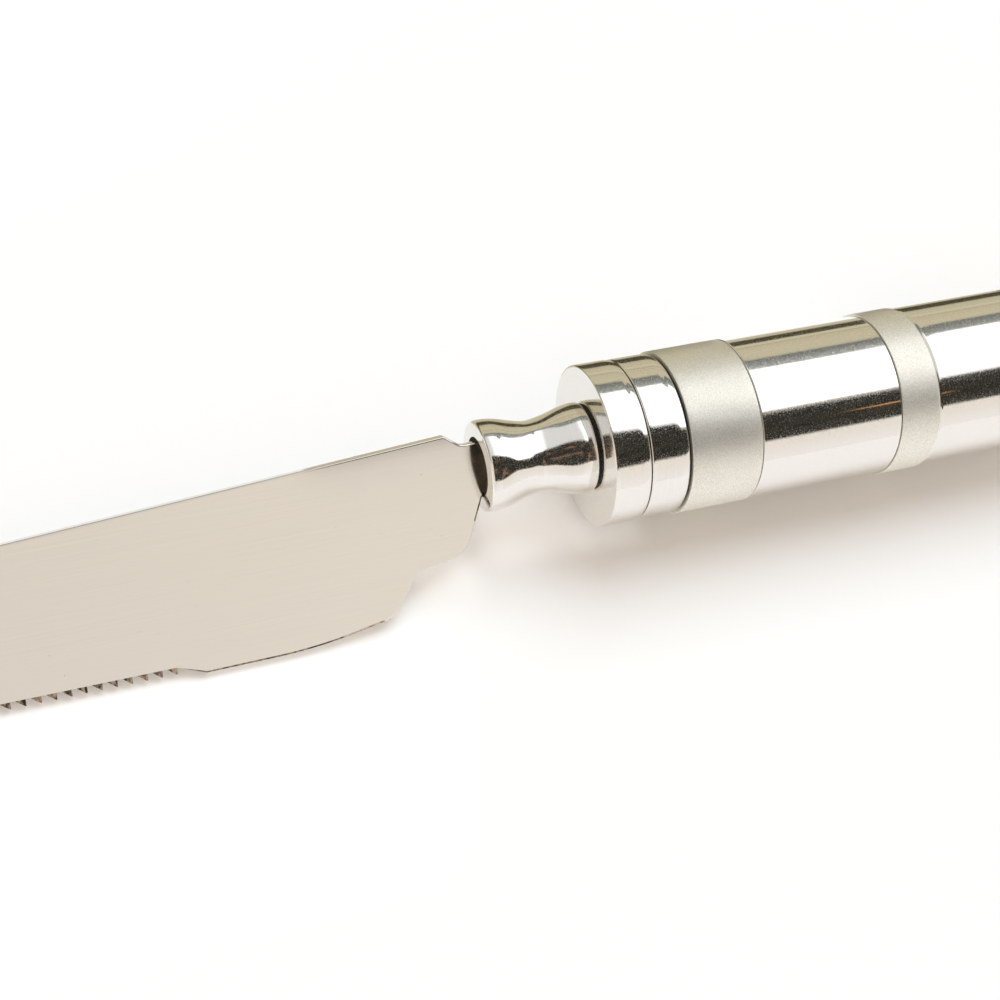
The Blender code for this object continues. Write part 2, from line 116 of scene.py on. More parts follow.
def new_finish(name):
    """A material with its Principled shader, and the node tree to add to."""
    finish = bpy.data.materials.new(name)
    finish.use_nodes = True
    tree = finish.node_tree
    return finish, tree, tree.nodes["Principled BSDF"]


def ramp_stops(node, stops):
    """Sets a colour ramp's stops from (place, colour) pairs."""
    elements = node.color_ramp.elements
    while len(elements) < len(stops):
        elements.new(1.0)
    for element, (place, colour) in zip(elements, stops):
        element.position = place
        element.color = colour
    return node


print("helpers ready")

# %% [markdown]
# ## Coordinates that follow the lathe
# A turned piece is marked in circles. Every mark lies at one place along the axis and at one
# distance from it, so the pattern needs just those two numbers. A Mapping node first moves the
# origin onto the axis, and the length of what is left, across the axis, is the distance.


# %% Axis coordinates for the turned finishes
def lathe_vector(tree):
    """(place along the axis, distance from it, 0) and the centred place of each point of a piece."""
    coords = add(tree, "ShaderNodeTexCoord")
    centred = add(tree, "ShaderNodeMapping", {"Vector": coords.outputs["Object"]},
                  {"Location": -axis_point}, vector_type="POINT")
    parts = add(tree, "ShaderNodeSeparateXYZ", {"Vector": centred.outputs["Vector"]})
    across = add(tree, "ShaderNodeCombineXYZ", {"Y": parts.outputs["Y"], "Z": parts.outputs["Z"]})
    distance = add(tree, "ShaderNodeVectorMath", {0: across.outputs["Vector"]}, operation="LENGTH")
    pair = add(tree, "ShaderNodeCombineXYZ", {"X": parts.outputs["X"], "Y": distance.outputs["Value"]})
    return pair.outputs["Vector"], centred.outputs["Vector"]


print("lathe coordinates count from x =", round(axis_point.x / MM, 2), "mm")

# %% [markdown]
# ## Buffed aluminium
# The neck, the sleeves, three rings and the tail cap are aluminium, turned and then buffed to a
# mirror. What the eye gets is a clear reflection with a fine grain. The wheel leaves tiny pits that
# scatter light, so even the dark part of a reflection glitters, and an orange-peel that makes the
# borders of reflections ragged. Turning lines stay round the piece, faint as hair. All three are
# drawn at 0.15 to 0.45 mm, coarser than the real ones, because finer ones would vanish between
# pixels. The neck is made wavy too, as a waist that was buffed by hand would be.

# %% Buffed aluminium
TURNING_LINE_MM = 0.16
TURNING_LINE_DEPTH = 0.0004 * MM
PIT_MM = 0.15
PIT_ROUGHNESS = {"From Min": 0.50, "From Max": 0.64, "To Min": 0.035, "To Max": 0.28}
PEEL_MM = 0.45
PEEL_DEPTH = 0.003 * MM
WAVE_MM = 4.0
LATHE_WAVE_DEPTH = 0.002 * MM
HAND_WAVE_DEPTH = 0.3 * MM


def buffed_aluminium(name, wave_depth):
    """A mirror with turning lines, pits, orange-peel and a wave of the given depth."""
    finish, tree, shader = new_finish(name)
    pair, centred = lathe_vector(tree)
    lines = add(tree, "ShaderNodeTexNoise", {"Vector": pair},
                {"Scale": per_metre(TURNING_LINE_MM), "Detail": 2.0, "Roughness": 0.6})
    pits = add(tree, "ShaderNodeTexNoise", {"Vector": centred},
               {"Scale": per_metre(PIT_MM), "Detail": 2.0, "Roughness": 0.7})
    peel = add(tree, "ShaderNodeTexNoise", {"Vector": centred},
               {"Scale": per_metre(PEEL_MM), "Detail": 2.0, "Roughness": 0.5})
    wave = add(tree, "ShaderNodeTexNoise", {"Vector": centred},
               {"Scale": per_metre(WAVE_MM), "Detail": 0.0})
    soft = add(tree, "ShaderNodeMapRange", {"Value": pits.outputs["Fac"]}, PIT_ROUGHNESS)
    tint = ramp_stops(add(tree, "ShaderNodeValToRGB", {"Fac": lines.outputs["Fac"]}),
                      [(0.25, linear("#ECE9E4")), (0.75, linear("#F1EEEA"))])
    grooves = add(tree, "ShaderNodeBump", {"Height": lines.outputs["Fac"]},
                  {"Strength": 1.0, "Distance": TURNING_LINE_DEPTH})
    grain = add(tree, "ShaderNodeBump",
                {"Height": peel.outputs["Fac"], "Normal": grooves.outputs["Normal"]},
                {"Strength": 1.0, "Distance": PEEL_DEPTH})
    swell = add(tree, "ShaderNodeBump",
                {"Height": wave.outputs["Fac"], "Normal": grain.outputs["Normal"]},
                {"Strength": 1.0, "Distance": wave_depth})
    shader.inputs["Metallic"].default_value = 1.0
    tree.links.new(tint.outputs["Color"], shader.inputs["Base Color"])
    tree.links.new(soft.outputs["Result"], shader.inputs["Roughness"])
    tree.links.new(swell.outputs["Normal"], shader.inputs["Normal"])
    return finish


BUFFED = buffed_aluminium("aluminium_turned_and_buffed", LATHE_WAVE_DEPTH)
HAND_BUFFED = buffed_aluminium("aluminium_buffed_by_hand", HAND_WAVE_DEPTH)
print("made", BUFFED.name, "and", HAND_BUFFED.name)

# %% [markdown]
# ## Bead-blasted aluminium
# The rings between the mirrors are blasted with fine glass beads, so they have a dense matt grain
# with no direction. The surface spreads the light in a wide soft band and keeps a pale silvery
# colour. Single beads are about 0.1 mm; the grain is drawn at 0.2 mm so that it shows.

# %% Bead-blasted aluminium
BEAD_MM = 0.2
DENT_DEPTH = 0.035 * MM
BLAST_CLOUD_MM = 4.0
BLAST_ROUGHNESS = {"From Min": 0.3, "From Max": 0.7, "To Min": 0.48, "To Max": 0.54}


def blasted_aluminium():
    """Matt metal with a dense grain of dents, a little uneven in its gloss."""
    finish, tree, shader = new_finish("aluminium_bead_blasted")
    coords = add(tree, "ShaderNodeTexCoord")
    beads = add(tree, "ShaderNodeTexNoise", {"Vector": coords.outputs["Object"]},
                {"Scale": per_metre(BEAD_MM), "Detail": 3.0, "Roughness": 0.65})
    clouds = add(tree, "ShaderNodeTexNoise", {"Vector": coords.outputs["Object"]},
                 {"Scale": per_metre(BLAST_CLOUD_MM), "Detail": 3.0, "Roughness": 0.6})
    speckle = ramp_stops(add(tree, "ShaderNodeValToRGB", {"Fac": beads.outputs["Fac"]}),
                         [(0.3, linear("#DDDAD0")), (0.7, linear("#FFFDF6"))])
    soft = add(tree, "ShaderNodeMapRange", {"Value": clouds.outputs["Fac"]}, BLAST_ROUGHNESS)
    dents = add(tree, "ShaderNodeBump", {"Height": beads.outputs["Fac"]},
                {"Strength": 1.0, "Distance": DENT_DEPTH})
    shader.inputs["Metallic"].default_value = 1.0
    tree.links.new(speckle.outputs["Color"], shader.inputs["Base Color"])
    tree.links.new(soft.outputs["Result"], shader.inputs["Roughness"])
    tree.links.new(dents.outputs["Normal"], shader.inputs["Normal"])
    return finish


BLASTED = blasted_aluminium()
print("made", BLASTED.name)

# %% [markdown]
# ## The blade's steel
# The blade is stainless sheet, polished along its length. It mirrors the room softly, so it looks
# like one calm warm plane with a hint of grain and a few pin-sized specks. The Mapping node turns
# the pattern with the blade, so that the grain runs from heel to tip. The sheet is modelled flat,
# but taken to be ground a little thinner towards the teeth: its normals are turned some degrees that
# way, because that gives the reflection which such a blade shows.

# %% Polished stainless steel
GRAIN_LENGTH_MM = 30.0
GRAIN_WIDTH_MM = 0.15
GRAIN_DEPTH = 0.0002 * MM
CLOUD_MM = 14.0
CLOUD_ROUGHNESS = {"From Min": 0.3, "From Max": 0.7, "To Min": 0.12, "To Max": 0.16}
SPECK_MM = 0.5
SPECK_TONE = {"From Min": 0.8, "From Max": 0.84, "To Min": 1.0, "To Max": 0.75}
GRIND_DEGREES = 8.0


def blade_vector(tree, size_mm):
    """Object coordinates turned with the blade and scaled to (along, through, across) sizes."""
    coords = add(tree, "ShaderNodeTexCoord")
    level = add(tree, "ShaderNodeMapping", {"Vector": coords.outputs["Object"]},
                {"Rotation": (lean, 0.0, 0.0)}, vector_type="POINT")
    sized = add(tree, "ShaderNodeMapping", {"Vector": level.outputs["Vector"]},
                {"Scale": [per_metre(size) for size in size_mm]}, vector_type="POINT")
    return sized.outputs["Vector"]


def polished_steel():
    """A soft mirror with a long grain, small specks and normals turned towards the edge."""
    finish, tree, shader = new_finish("stainless_sheet_polished")
    fine = blade_vector(tree, (GRAIN_LENGTH_MM, GRAIN_WIDTH_MM, GRAIN_WIDTH_MM))
    even = blade_vector(tree, (1.0, 1.0, 1.0))
    grain = add(tree, "ShaderNodeTexNoise", {"Vector": fine},
                {"Scale": 1.0, "Detail": 3.0, "Roughness": 0.6})
    clouds = add(tree, "ShaderNodeTexNoise", {"Vector": even}, {"Scale": 1.0 / CLOUD_MM, "Detail": 3.0})
    specks = add(tree, "ShaderNodeTexNoise", {"Vector": even}, {"Scale": 1.0 / SPECK_MM, "Detail": 1.0})
    tone = ramp_stops(add(tree, "ShaderNodeValToRGB", {"Fac": grain.outputs["Fac"]}),
                      [(0.2, linear("#DFDBD5")), (0.8, linear("#E4E0DA"))])
    dots = add(tree, "ShaderNodeMapRange", {"Value": specks.outputs["Fac"]}, SPECK_TONE)
    marked = add(tree, "ShaderNodeMix", {6: tone.outputs["Color"], 7: dots.outputs["Result"]},
                 {0: 1.0}, data_type="RGBA", blend_type="MULTIPLY")
    soft = add(tree, "ShaderNodeMapRange", {"Value": clouds.outputs["Fac"]}, CLOUD_ROUGHNESS)
    surface = add(tree, "ShaderNodeNewGeometry")
    towards_edge = Vector((0.0, -math.sin(lean), -math.cos(lean)))
    slant = math.tan(math.radians(GRIND_DEGREES)) * towards_edge
    ground = add(tree, "ShaderNodeVectorMath", {0: surface.outputs["Normal"]}, {1: slant},
                 operation="ADD")
    normal = add(tree, "ShaderNodeVectorMath", {0: ground.outputs["Vector"]}, operation="NORMALIZE")
    lines = add(tree, "ShaderNodeBump",
                {"Height": grain.outputs["Fac"], "Normal": normal.outputs["Vector"]},
                {"Strength": 1.0, "Distance": GRAIN_DEPTH})
    shader.inputs["Metallic"].default_value = 1.0
    tree.links.new(marked.outputs[2], shader.inputs["Base Color"])
    tree.links.new(soft.outputs["Result"], shader.inputs["Roughness"])
    tree.links.new(lines.outputs["Normal"], shader.inputs["Normal"])
    return finish


STEEL = polished_steel()
print("made", STEEL.name)

# %% [markdown]
# ## The ground edge, painted dark
# The grinding wheel leaves the teeth and the rim of the plain edge rougher than the polished side,
# with short marks across the edge. Their dark tones are painted shade, with paler painted streaks
# along the marks. Where the edge runs into the heel the painted shade fades to a paler brown.
# Both are one recipe with other tones.

# %% Ground stainless steel, painted dark as shade
GRIND_MARK_MM = (0.4, 1.5, 1.5)
GRIND_DEPTH = 0.01 * MM
GROUND_ROUGHNESS = 0.38


def ground_steel_painted_shade(name, dark, light):
    """Steel as the wheel left it, with marks across the edge between two tones of painted shade."""
    finish, tree, shader = new_finish(name)
    marks = add(tree, "ShaderNodeTexNoise", {"Vector": blade_vector(tree, GRIND_MARK_MM)},
                {"Scale": 1.0, "Detail": 2.0})
    tone = ramp_stops(add(tree, "ShaderNodeValToRGB", {"Fac": marks.outputs["Fac"]}),
                      [(0.38, linear(dark)), (0.62, linear(light))])
    ridges = add(tree, "ShaderNodeBump", {"Height": marks.outputs["Fac"]},
                 {"Strength": 0.6, "Distance": GRIND_DEPTH})
    shader.inputs["Metallic"].default_value = 1.0
    shader.inputs["Roughness"].default_value = GROUND_ROUGHNESS
    tree.links.new(tone.outputs["Color"], shader.inputs["Base Color"])
    tree.links.new(ridges.outputs["Normal"], shader.inputs["Normal"])
    return finish


# dark tones painted as shade on the teeth and on the edge and shoulder rims
GROUND_PAINTED_SHADE = ground_steel_painted_shade("stainless_edge_ground_painted_shade", "#2A1E17", "#A08C78")
# paler tones: the painted shade fading out where the edge meets the heel
FADING_PAINTED_SHADE = ground_steel_painted_shade("stainless_edge_fading_painted_shade", "#8A7868", "#CDBDAC")
print("made", GROUND_PAINTED_SHADE.name, "and", FADING_PAINTED_SHADE.name)

# %% [markdown]
# ## Finishes that hide in the gaps
# Thin washers of black vulcanised fibre part the rings, cured filler holds the tang, and
# plain turned steel makes the rod and bushes inside. They show as slits and shadows at most, so
# their recipes are short, but each still has its own grain.


# %% Fibre, filler and plain turned steel
def grainy(name, dark, light, grain_mm, roughness, metallic, relief_mm):
    """A finish with an even grain between two tones."""
    finish, tree, shader = new_finish(name)
    coords = add(tree, "ShaderNodeTexCoord")
    grain = add(tree, "ShaderNodeTexNoise", {"Vector": coords.outputs["Object"]},
                {"Scale": per_metre(grain_mm), "Detail": 3.0})
    tone = ramp_stops(add(tree, "ShaderNodeValToRGB", {"Fac": grain.outputs["Fac"]}),
                      [(0.3, linear(dark)), (0.7, linear(light))])
    relief = add(tree, "ShaderNodeBump", {"Height": grain.outputs["Fac"]},
                 {"Strength": 0.5, "Distance": relief_mm * MM})
    shader.inputs["Metallic"].default_value = metallic
    shader.inputs["Roughness"].default_value = roughness
    tree.links.new(tone.outputs["Color"], shader.inputs["Base Color"])
    tree.links.new(relief.outputs["Normal"], shader.inputs["Normal"])
    return finish


FIBRE = grainy("black_vulcanised_fibre", "#0B0A09", "#1A1816",
               grain_mm=0.3, roughness=0.6, metallic=0.0, relief_mm=0.01)
FILLER = grainy("cured_filler", "#948977", "#BFB29E",
                grain_mm=0.5, roughness=0.55, metallic=0.0, relief_mm=0.03)
TURNED_STEEL = grainy("plain_turned_steel", "#7C7C7E", "#98989A",
                      grain_mm=0.4, roughness=0.35, metallic=1.0, relief_mm=0.005)
print("made", FIBRE.name, FILLER.name, TURNED_STEEL.name)

# %% [markdown]
# ## Turning a piece on the lathe
# A ring can be made from a cylinder with bevelled rims, but then its bore, its seat and its
# crowned side are all separate jobs. A turner thinks in sections instead: draw half of the cut
# face as a flat plate, round its corners, and spin it once round the axis. The same few steps
# make the neck, every ring, the washers and the cap.

# %% Pick and move in edit mode
MERGE_MM = 0.001


def pick(piece, test):
    """Selects, in edit mode, the vertices that pass a test on their place."""
    bpy.ops.object.mode_set(mode="EDIT")
    bpy.ops.mesh.select_mode(type="VERT")
    bpy.ops.mesh.select_all(action="DESELECT")
    bpy.ops.object.mode_set(mode="OBJECT")
    for vertex in piece.data.vertices:
        vertex.select = test(vertex.co)
    bpy.ops.object.mode_set(mode="EDIT")


def near(place, x, z):
    """True for a vertex of a section at this place."""
    return math.hypot(place.x - x, place.z - z) < MERGE_MM * MM


def move(piece, x, z, new_x, new_z):
    """Moves one vertex of a section to a new place."""
    pick(piece, lambda place: near(place, x, z))
    bpy.ops.transform.translate(value=(new_x - x, 0.0, new_z - z))


print("edit tools ready")

# %% Start, smooth and lay down a piece
FLAT_FACE_WEIGHT = 100


def new_plate(name, x0, x1, z0, z1):
    """A flat plate in the XZ plane, the start of a section or an outline."""
    bpy.ops.object.select_all(action="DESELECT")
    middle = ((x0 + x1) / 2.0, 0.0, (z0 + z1) / 2.0)
    bpy.ops.mesh.primitive_plane_add(size=1.0, location=middle, rotation=(math.pi / 2.0, 0.0, 0.0))
    plate = bpy.context.object
    plate.name = name
    plate.data.name = name
    plate.scale = (x1 - x0, z1 - z0, 1.0)
    bpy.ops.object.transform_apply(location=True, rotation=True, scale=True)
    return plate


def smooth_piece(piece, angle_degrees):
    """Smooth shading that keeps flats flat and edges crisp."""
    bpy.ops.object.mode_set(mode="OBJECT")
    bpy.ops.object.shade_smooth_by_angle(angle=math.radians(angle_degrees))
    weigh = piece.modifiers.new("Flat faces rule", "WEIGHTED_NORMAL")
    weigh.keep_sharp = True
    weigh.weight = FLAT_FACE_WEIGHT
    bpy.ops.object.modifier_apply(modifier=weigh.name)


def lay_down(piece, node, finish):
    """Lays a finished piece on the table, gives it its finish and puts it in place of its node."""
    piece.data.materials.append(finish)
    piece.matrix_world = table_pose
    bpy.ops.object.transform_apply(location=True, rotation=True, scale=True)
    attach(piece, "root")
    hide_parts(node)


print("piece tools ready")

# %% [markdown]
# ## A stack that is pressed tight
# The fixed frame leaves a tenth of a millimetre between neighbours. The rod of the real handle pulls
# the stack tight, so rings and sleeves grow into the gaps beside them. A ring takes most of the gap
# beside a washer, because the washer keeps its thickness. Between two rings only a fifth is closed,
# so that their seam stays visible as a fine line.

# %% The stack, pressed tight
STACK = [
    "neck", "neck_washer", "front_ring", "second_ring", "front_spacer", "front_satin_ring",
    "front_sleeve", "satin_band", "rear_sleeve", "rear_satin_ring", "rear_spacer", "rear_ring",
    "tail_cap",
]
THIN = ("neck_washer", "front_spacer", "rear_spacer")
SHARE_BY_RING = 0.1
SHARE_BY_WASHER = 0.9
NECK_LIP = 0.5 * MM


def growth(node, neighbour, gap):
    """How far a piece grows into the gap beside it."""
    if node in THIN:
        return 0.0
    return max(0.0, gap) * (SHARE_BY_WASHER if neighbour in THIN else SHARE_BY_RING)


def pressed(node):
    """Start, end and outer radius of a piece in the pressed stack, in axis coordinates."""
    x0, x1, radius = stretch(node)
    place = STACK.index(node)
    if node == "neck":
        x0 -= NECK_LIP
    else:
        ahead = STACK[place - 1]
        x0 -= growth(node, ahead, x0 - stretch(ahead)[1])
    if node != "tail_cap":
        behind = STACK[place + 1]
        x1 += growth(node, behind, stretch(behind)[0] - x1)
    return x0, x1, radius


print("second ring pressed to", [round(v / MM, 3) for v in pressed("second_ring")], "mm")

# %% From section to turned piece
ROUND_STEPS = 192
CORNER_STEPS = 8
SIDE_CUTS = 12
TURNED_SMOOTH_DEGREES = 40.0


def turned(node, finish, inner, front_edge_mm, rear_edge_mm, drop=None, cuts=SIDE_CUTS,
           outer_start=None):
    """Spins a section round the axis.

    inner lists the (place, radius) points of the side towards the axis, front to rear. drop gives
    how far the outer side lies below the node's full radius at a place along the axis.
    """
    x0, x1, radius = pressed(node)
    front = x0 if outer_start is None else outer_start
    plate = new_plate(node + "_dressed", x0, x1, 0.0, radius)

    # the inner side gets one vertex for each of its points, moved out in order
    pick(plate, lambda place: place.z < MERGE_MM * MM)
    if len(inner) > 2:
        bpy.ops.mesh.subdivide(number_cuts=len(inner) - 2)
    bpy.ops.object.mode_set(mode="OBJECT")
    low_side = sorted(v.co.x for v in plate.data.vertices if v.co.z < MERGE_MM * MM)
    for x, (new_x, new_radius) in reversed(list(zip(low_side, inner))):
        move(plate, x, 0.0, new_x, new_radius)
    if outer_start is not None:
        move(plate, x0, radius, front, radius)

    # the two outer corners are rounded, then the side between them is divided and shaped
    for x, edge in ((front, front_edge_mm), (x1, rear_edge_mm)):
        pick(plate, lambda place: near(place, x, radius))
        bpy.ops.mesh.bevel(offset=edge * MM, segments=CORNER_STEPS, affect="VERTICES")
    pick(plate, lambda place: place.z > radius - MERGE_MM * MM)
    bpy.ops.mesh.subdivide(number_cuts=cuts)
    if drop:
        bpy.ops.object.mode_set(mode="OBJECT")
        lowest = radius - max(front_edge_mm, rear_edge_mm) * MM - MERGE_MM * MM
        leftmost = front - MERGE_MM * MM
        places = [vertex.co.copy() for vertex in plate.data.vertices]
        for place in [p for p in places if p.z > lowest and p.x > leftmost]:
            move(plate, place.x, place.z, place.x, place.z - drop(place.x))

    bpy.ops.mesh.select_all(action="SELECT")
    bpy.ops.mesh.delete(type="ONLY_FACE")
    bpy.ops.mesh.select_all(action="SELECT")
    bpy.ops.mesh.spin(steps=ROUND_STEPS, angle=2.0 * math.pi, center=(0.0, 0.0, 0.0),
                      axis=(1.0, 0.0, 0.0))
    bpy.ops.mesh.select_all(action="SELECT")
    bpy.ops.mesh.remove_doubles(threshold=MERGE_MM * MM)
    bpy.ops.mesh.normals_make_consistent(inside=False)
    smooth_piece(plate, TURNED_SMOOTH_DEGREES)
    lay_down(plate, node, finish)
    print("turned", plate.name, len(plate.data.polygons), "faces")
    return plate


# %% [markdown]
# ## The stack of rings
# From the neck to the tail the stack repeats a few kinds of ring. The mirror rings have a side that
# drops gently towards the rear rim, which bends their reflections near the seam. The sleeves are
# straight, with crisp ends. The blasted rings are straight too, and the band between the sleeves
# stands a little proud of them. All are threaded on the core tube or the rod, which gives the bore.

# %% Turn the rings, sleeves and washers
BORE_CLEARANCE = 0.15 * MM
BORE = stretch("core_tube")[2] + BORE_CLEARANCE
ROD_BORE = stretch("tie_rod")[2] + BORE_CLEARANCE
CROWN_RUN = 1.5 * MM
CROWN_DROP = 0.20 * MM
CORE_SEAT = 2.0 * MM
WASHER_EDGE_MM = 0.05
WASHER_CUTS = 2
RINGS = [
    # node, slot, finish, front and rear edge rounding in mm, crowned
    ("front_ring", "polished_aluminium", BUFFED, 0.25, 0.3, True),
    ("second_ring", "polished_aluminium", BUFFED, 0.25, 0.14, True),
    ("front_satin_ring", "satin_aluminium", BLASTED, 0.1, 0.2, False),
    ("front_sleeve", "polished_aluminium", BUFFED, 0.16, 0.08, False),
    ("satin_band", "satin_aluminium", BLASTED, 0.12, 0.12, False),
    ("rear_sleeve", "polished_aluminium", BUFFED, 0.7, 0.08, False),
    ("rear_satin_ring", "satin_aluminium", BLASTED, 0.12, 0.1, False),
    ("rear_ring", "polished_aluminium", BUFFED, 0.14, 0.14, True),
]
WASHERS = {"neck_washer": ROD_BORE, "front_spacer": BORE, "rear_spacer": BORE}


def crown(node):
    """A drop that grows towards the rear rim of a ring."""
    rear = pressed(node)[1]

    def drop(x):
        depth = max(0.0, x - (rear - CROWN_RUN)) / CROWN_RUN
        return CROWN_DROP * depth * depth
    return drop


def plain_bore(node, bore):
    """The inner side of a piece with one straight bore."""
    x0, x1, _ = pressed(node)
    return [(x0, bore), (x1, bore)]


def seated_bore(node):
    """The inner side of the first ring: the rod's hole, then a seat for the core tube."""
    x0, x1, _ = pressed(node)
    seat = x1 - CORE_SEAT
    return [(x0, ROD_BORE), (seat, ROD_BORE), (seat, BORE), (x1, BORE)]


for node, slot, finish, front_edge, rear_edge, crowned in RINGS:
    inside = seated_bore(node) if node == "front_ring" else plain_bore(node, BORE)
    turned(node, finish, inside, front_edge, rear_edge, crown(node) if crowned else None)
for node, bore in WASHERS.items():
    turned(node, FIBRE, plain_bore(node, bore), WASHER_EDGE_MM, WASHER_EDGE_MM,
           cuts=WASHER_CUTS)

# %% [markdown]
# ## The waisted neck
# The neck is a spool: its radius follows one slow wave, narrow in the middle and wide at both
# ends. A socket for the tang opens in front, and the rod's hole comes in from behind. The same
# section tool makes it, with the wave as the drop of the outer side. The mouth ends in a small
# rounded lip.

# %% Turn the neck
NECK_MEAN_RADIUS = 6.23 * MM
NECK_WAVE = 0.66 * MM
NECK_WAVE_LENGTH = 14.35 * MM
NECK_BORE = 4.5 * MM
NECK_SOCKET = 10.6 * MM
NECK_LIP_EDGE_MM = 0.45
NECK_REAR_EDGE_MM = 0.4
NECK_CUTS = 40
neck_x0, neck_x1, neck_radius = pressed("neck")
neck_middle = sum(stretch("neck")[:2]) / 2.0


def neck_drop(x):
    """How far the spool's wave lies below its widest radius."""
    phase = 2.0 * math.pi * (x - neck_middle) / NECK_WAVE_LENGTH
    return neck_radius - (NECK_MEAN_RADIUS - NECK_WAVE * math.cos(phase))


socket_end = stretch("neck")[0] + NECK_SOCKET
neck_inner = [
    (neck_x0, NECK_BORE),
    (socket_end, NECK_BORE),
    (socket_end, ROD_BORE),
    (neck_x1, ROD_BORE),
]
turned("neck", HAND_BUFFED, neck_inner, NECK_LIP_EDGE_MM, NECK_REAR_EDGE_MM,
       neck_drop, cuts=NECK_CUTS)

# %% [markdown]
# ## The tail cap
# The cap is a cup that plugs into the last ring and hides the nut. Its spigot, rim and cavity are
# one section, and the point on the axis closes to a pole when the doubles are merged.

# %% Turn the tail cap
CAP_SPIGOT = 1.5 * MM
CAP_WALL = 2.0 * MM
CAP_CAVITY = 5.95 * MM
CAP_FRONT_EDGE_MM = 0.3
CAP_END_EDGE_MM = 0.6
cap_x0, cap_x1, _ = stretch("tail_cap")
cap_inner = [
    (cap_x0 + CAP_SPIGOT, stretch("core_tube")[2]),
    (cap_x0, stretch("core_tube")[2]),
    (cap_x0, CAP_CAVITY),
    (cap_x1 - CAP_WALL, CAP_CAVITY),
    (cap_x1 - CAP_WALL, 0.0),
    (cap_x1, 0.0),
]
turned("tail_cap", BUFFED, cap_inner, CAP_FRONT_EDGE_MM, CAP_END_EDGE_MM,
       outer_start=cap_x0 + CAP_SPIGOT)

# %% [markdown]
# ## The blade
# The blade is cut from flat sheet. Its outline goes from the tang down a stepped heel to a short
# plain edge, along the teeth to the tip, and back along a straight spine. A vertex is walked from
# corner to corner, the round corners are bevelled, and the filled outline is pulled to the
# sheet's thickness. The long edges are then softened, because a polished blade has no razor-sharp
# outline, and it is the soft edge that catches the light.

# %% The heel and the toothed edge
BLADE_LENGTH = 205.0 * MM
TANG_REACH = 4.53 * MM
SHOULDER_START = 0.6 * MM
HEEL_STEPS = [
    # run towards the tip, drop towards the edge, rounding of the corner at its end, in mm
    (1.4, 3.35, 0.0),
    (1.9, 4.55, 4.5),
    (8.05, 1.65, 2.2),
    (3.8, 5.84, 4.5),
    (12.25, 2.2, 60.0),
    (16.4, 0.15, 0.0),
]
TIP_EDGE_ROUND_MM = 3.0
TOOTH_PITCH = 2.12 * MM
TOOTH_WIDTH = 1.45 * MM
TOOTH_DEPTH = 1.35 * MM
TOOTH_SETBACK = 0.4 * MM
EDGE_RISE = 0.45 * MM
RUN_OUT = 1.3 * MM
neck_front = stretch("neck")[0]


def heel_corners():
    """The heel's corners as (distance from the neck, height, rounding in mm)."""
    along, height = SHOULDER_START, -TANG_REACH
    corners = [(along, height, 0.0)]
    for run, fall, rounding in HEEL_STEPS:
        along += run * MM
        height -= fall * MM
        corners.append((along, height, rounding))
    return corners


heel = heel_corners()
serration_start = heel[-1][0] + RUN_OUT
serration_end = BLADE_LENGTH - TIP_EDGE_ROUND_MM * MM
gullet = heel[-1][1] + TOOTH_SETBACK + TOOTH_DEPTH
tooth_count = int((serration_end - TOOTH_PITCH - serration_start) / TOOTH_PITCH)


def gullet_height(along):
    """Height of the toothed edge's root line, which rises a little towards the tip."""
    return gullet + EDGE_RISE * (along - serration_start) / (BLADE_LENGTH - serration_start)


print("heel reaches", round(-heel[-1][1] / MM, 2), "mm below the axis")
print("toothed edge has room for", tooth_count, "pitches")

# %% Walk the outline and fill it
SPINE_HEIGHT = 5.6 * MM
SPINE_SLOPE = math.radians(3.45)
SPINE_START = 5.3 * MM
SPINE_CORNER_ROUND_MM = 0.5
NOTCH_RUN = 2.4 * MM
NOTCH_ROUND_MM = 1.6
TIP_SPINE_ROUND_MM = 11.0
TANG_FOOT = 4.1 * MM
TANG_FOOT_END = 0.2 * MM
TANG_TOP = 3.83 * MM
TANG_ROOT = 2.4 * MM
TANG_DEPTH = 10.0 * MM
TANG_STUB = 3.0 * MM


def blade_outline():
    """Corners of the blade from the tang, under the heel, along the teeth and back along the spine."""
    fall = math.tan(SPINE_SLOPE) * (BLADE_LENGTH - SPINE_START)
    below = [
        (-TANG_DEPTH, -TANG_STUB, 0.0),
        (-TANG_ROOT, -TANG_STUB, 0.0),
        (-TANG_ROOT, -TANG_FOOT, 0.0),
        (TANG_FOOT_END, -TANG_FOOT, 0.0),
    ]
    roots = []
    for i in range(1, tooth_count):
        foot = serration_start + TOOTH_PITCH - TOOTH_WIDTH + i * TOOTH_PITCH
        for along in (foot, foot + TOOTH_WIDTH):
            roots.append((along, gullet_height(along), 0.0))
    above = [
        (BLADE_LENGTH, gullet + EDGE_RISE, TIP_EDGE_ROUND_MM),
        (BLADE_LENGTH, SPINE_HEIGHT - fall, TIP_SPINE_ROUND_MM),
        (SPINE_START, SPINE_HEIGHT, SPINE_CORNER_ROUND_MM),
        (SPINE_START - NOTCH_RUN, TANG_TOP, NOTCH_ROUND_MM),
        (-TANG_ROOT, TANG_TOP, 0.0),
        (-TANG_ROOT, TANG_STUB, 0.0),
        (-TANG_DEPTH, TANG_STUB, 0.0),
    ]
    return below + heel + roots + above


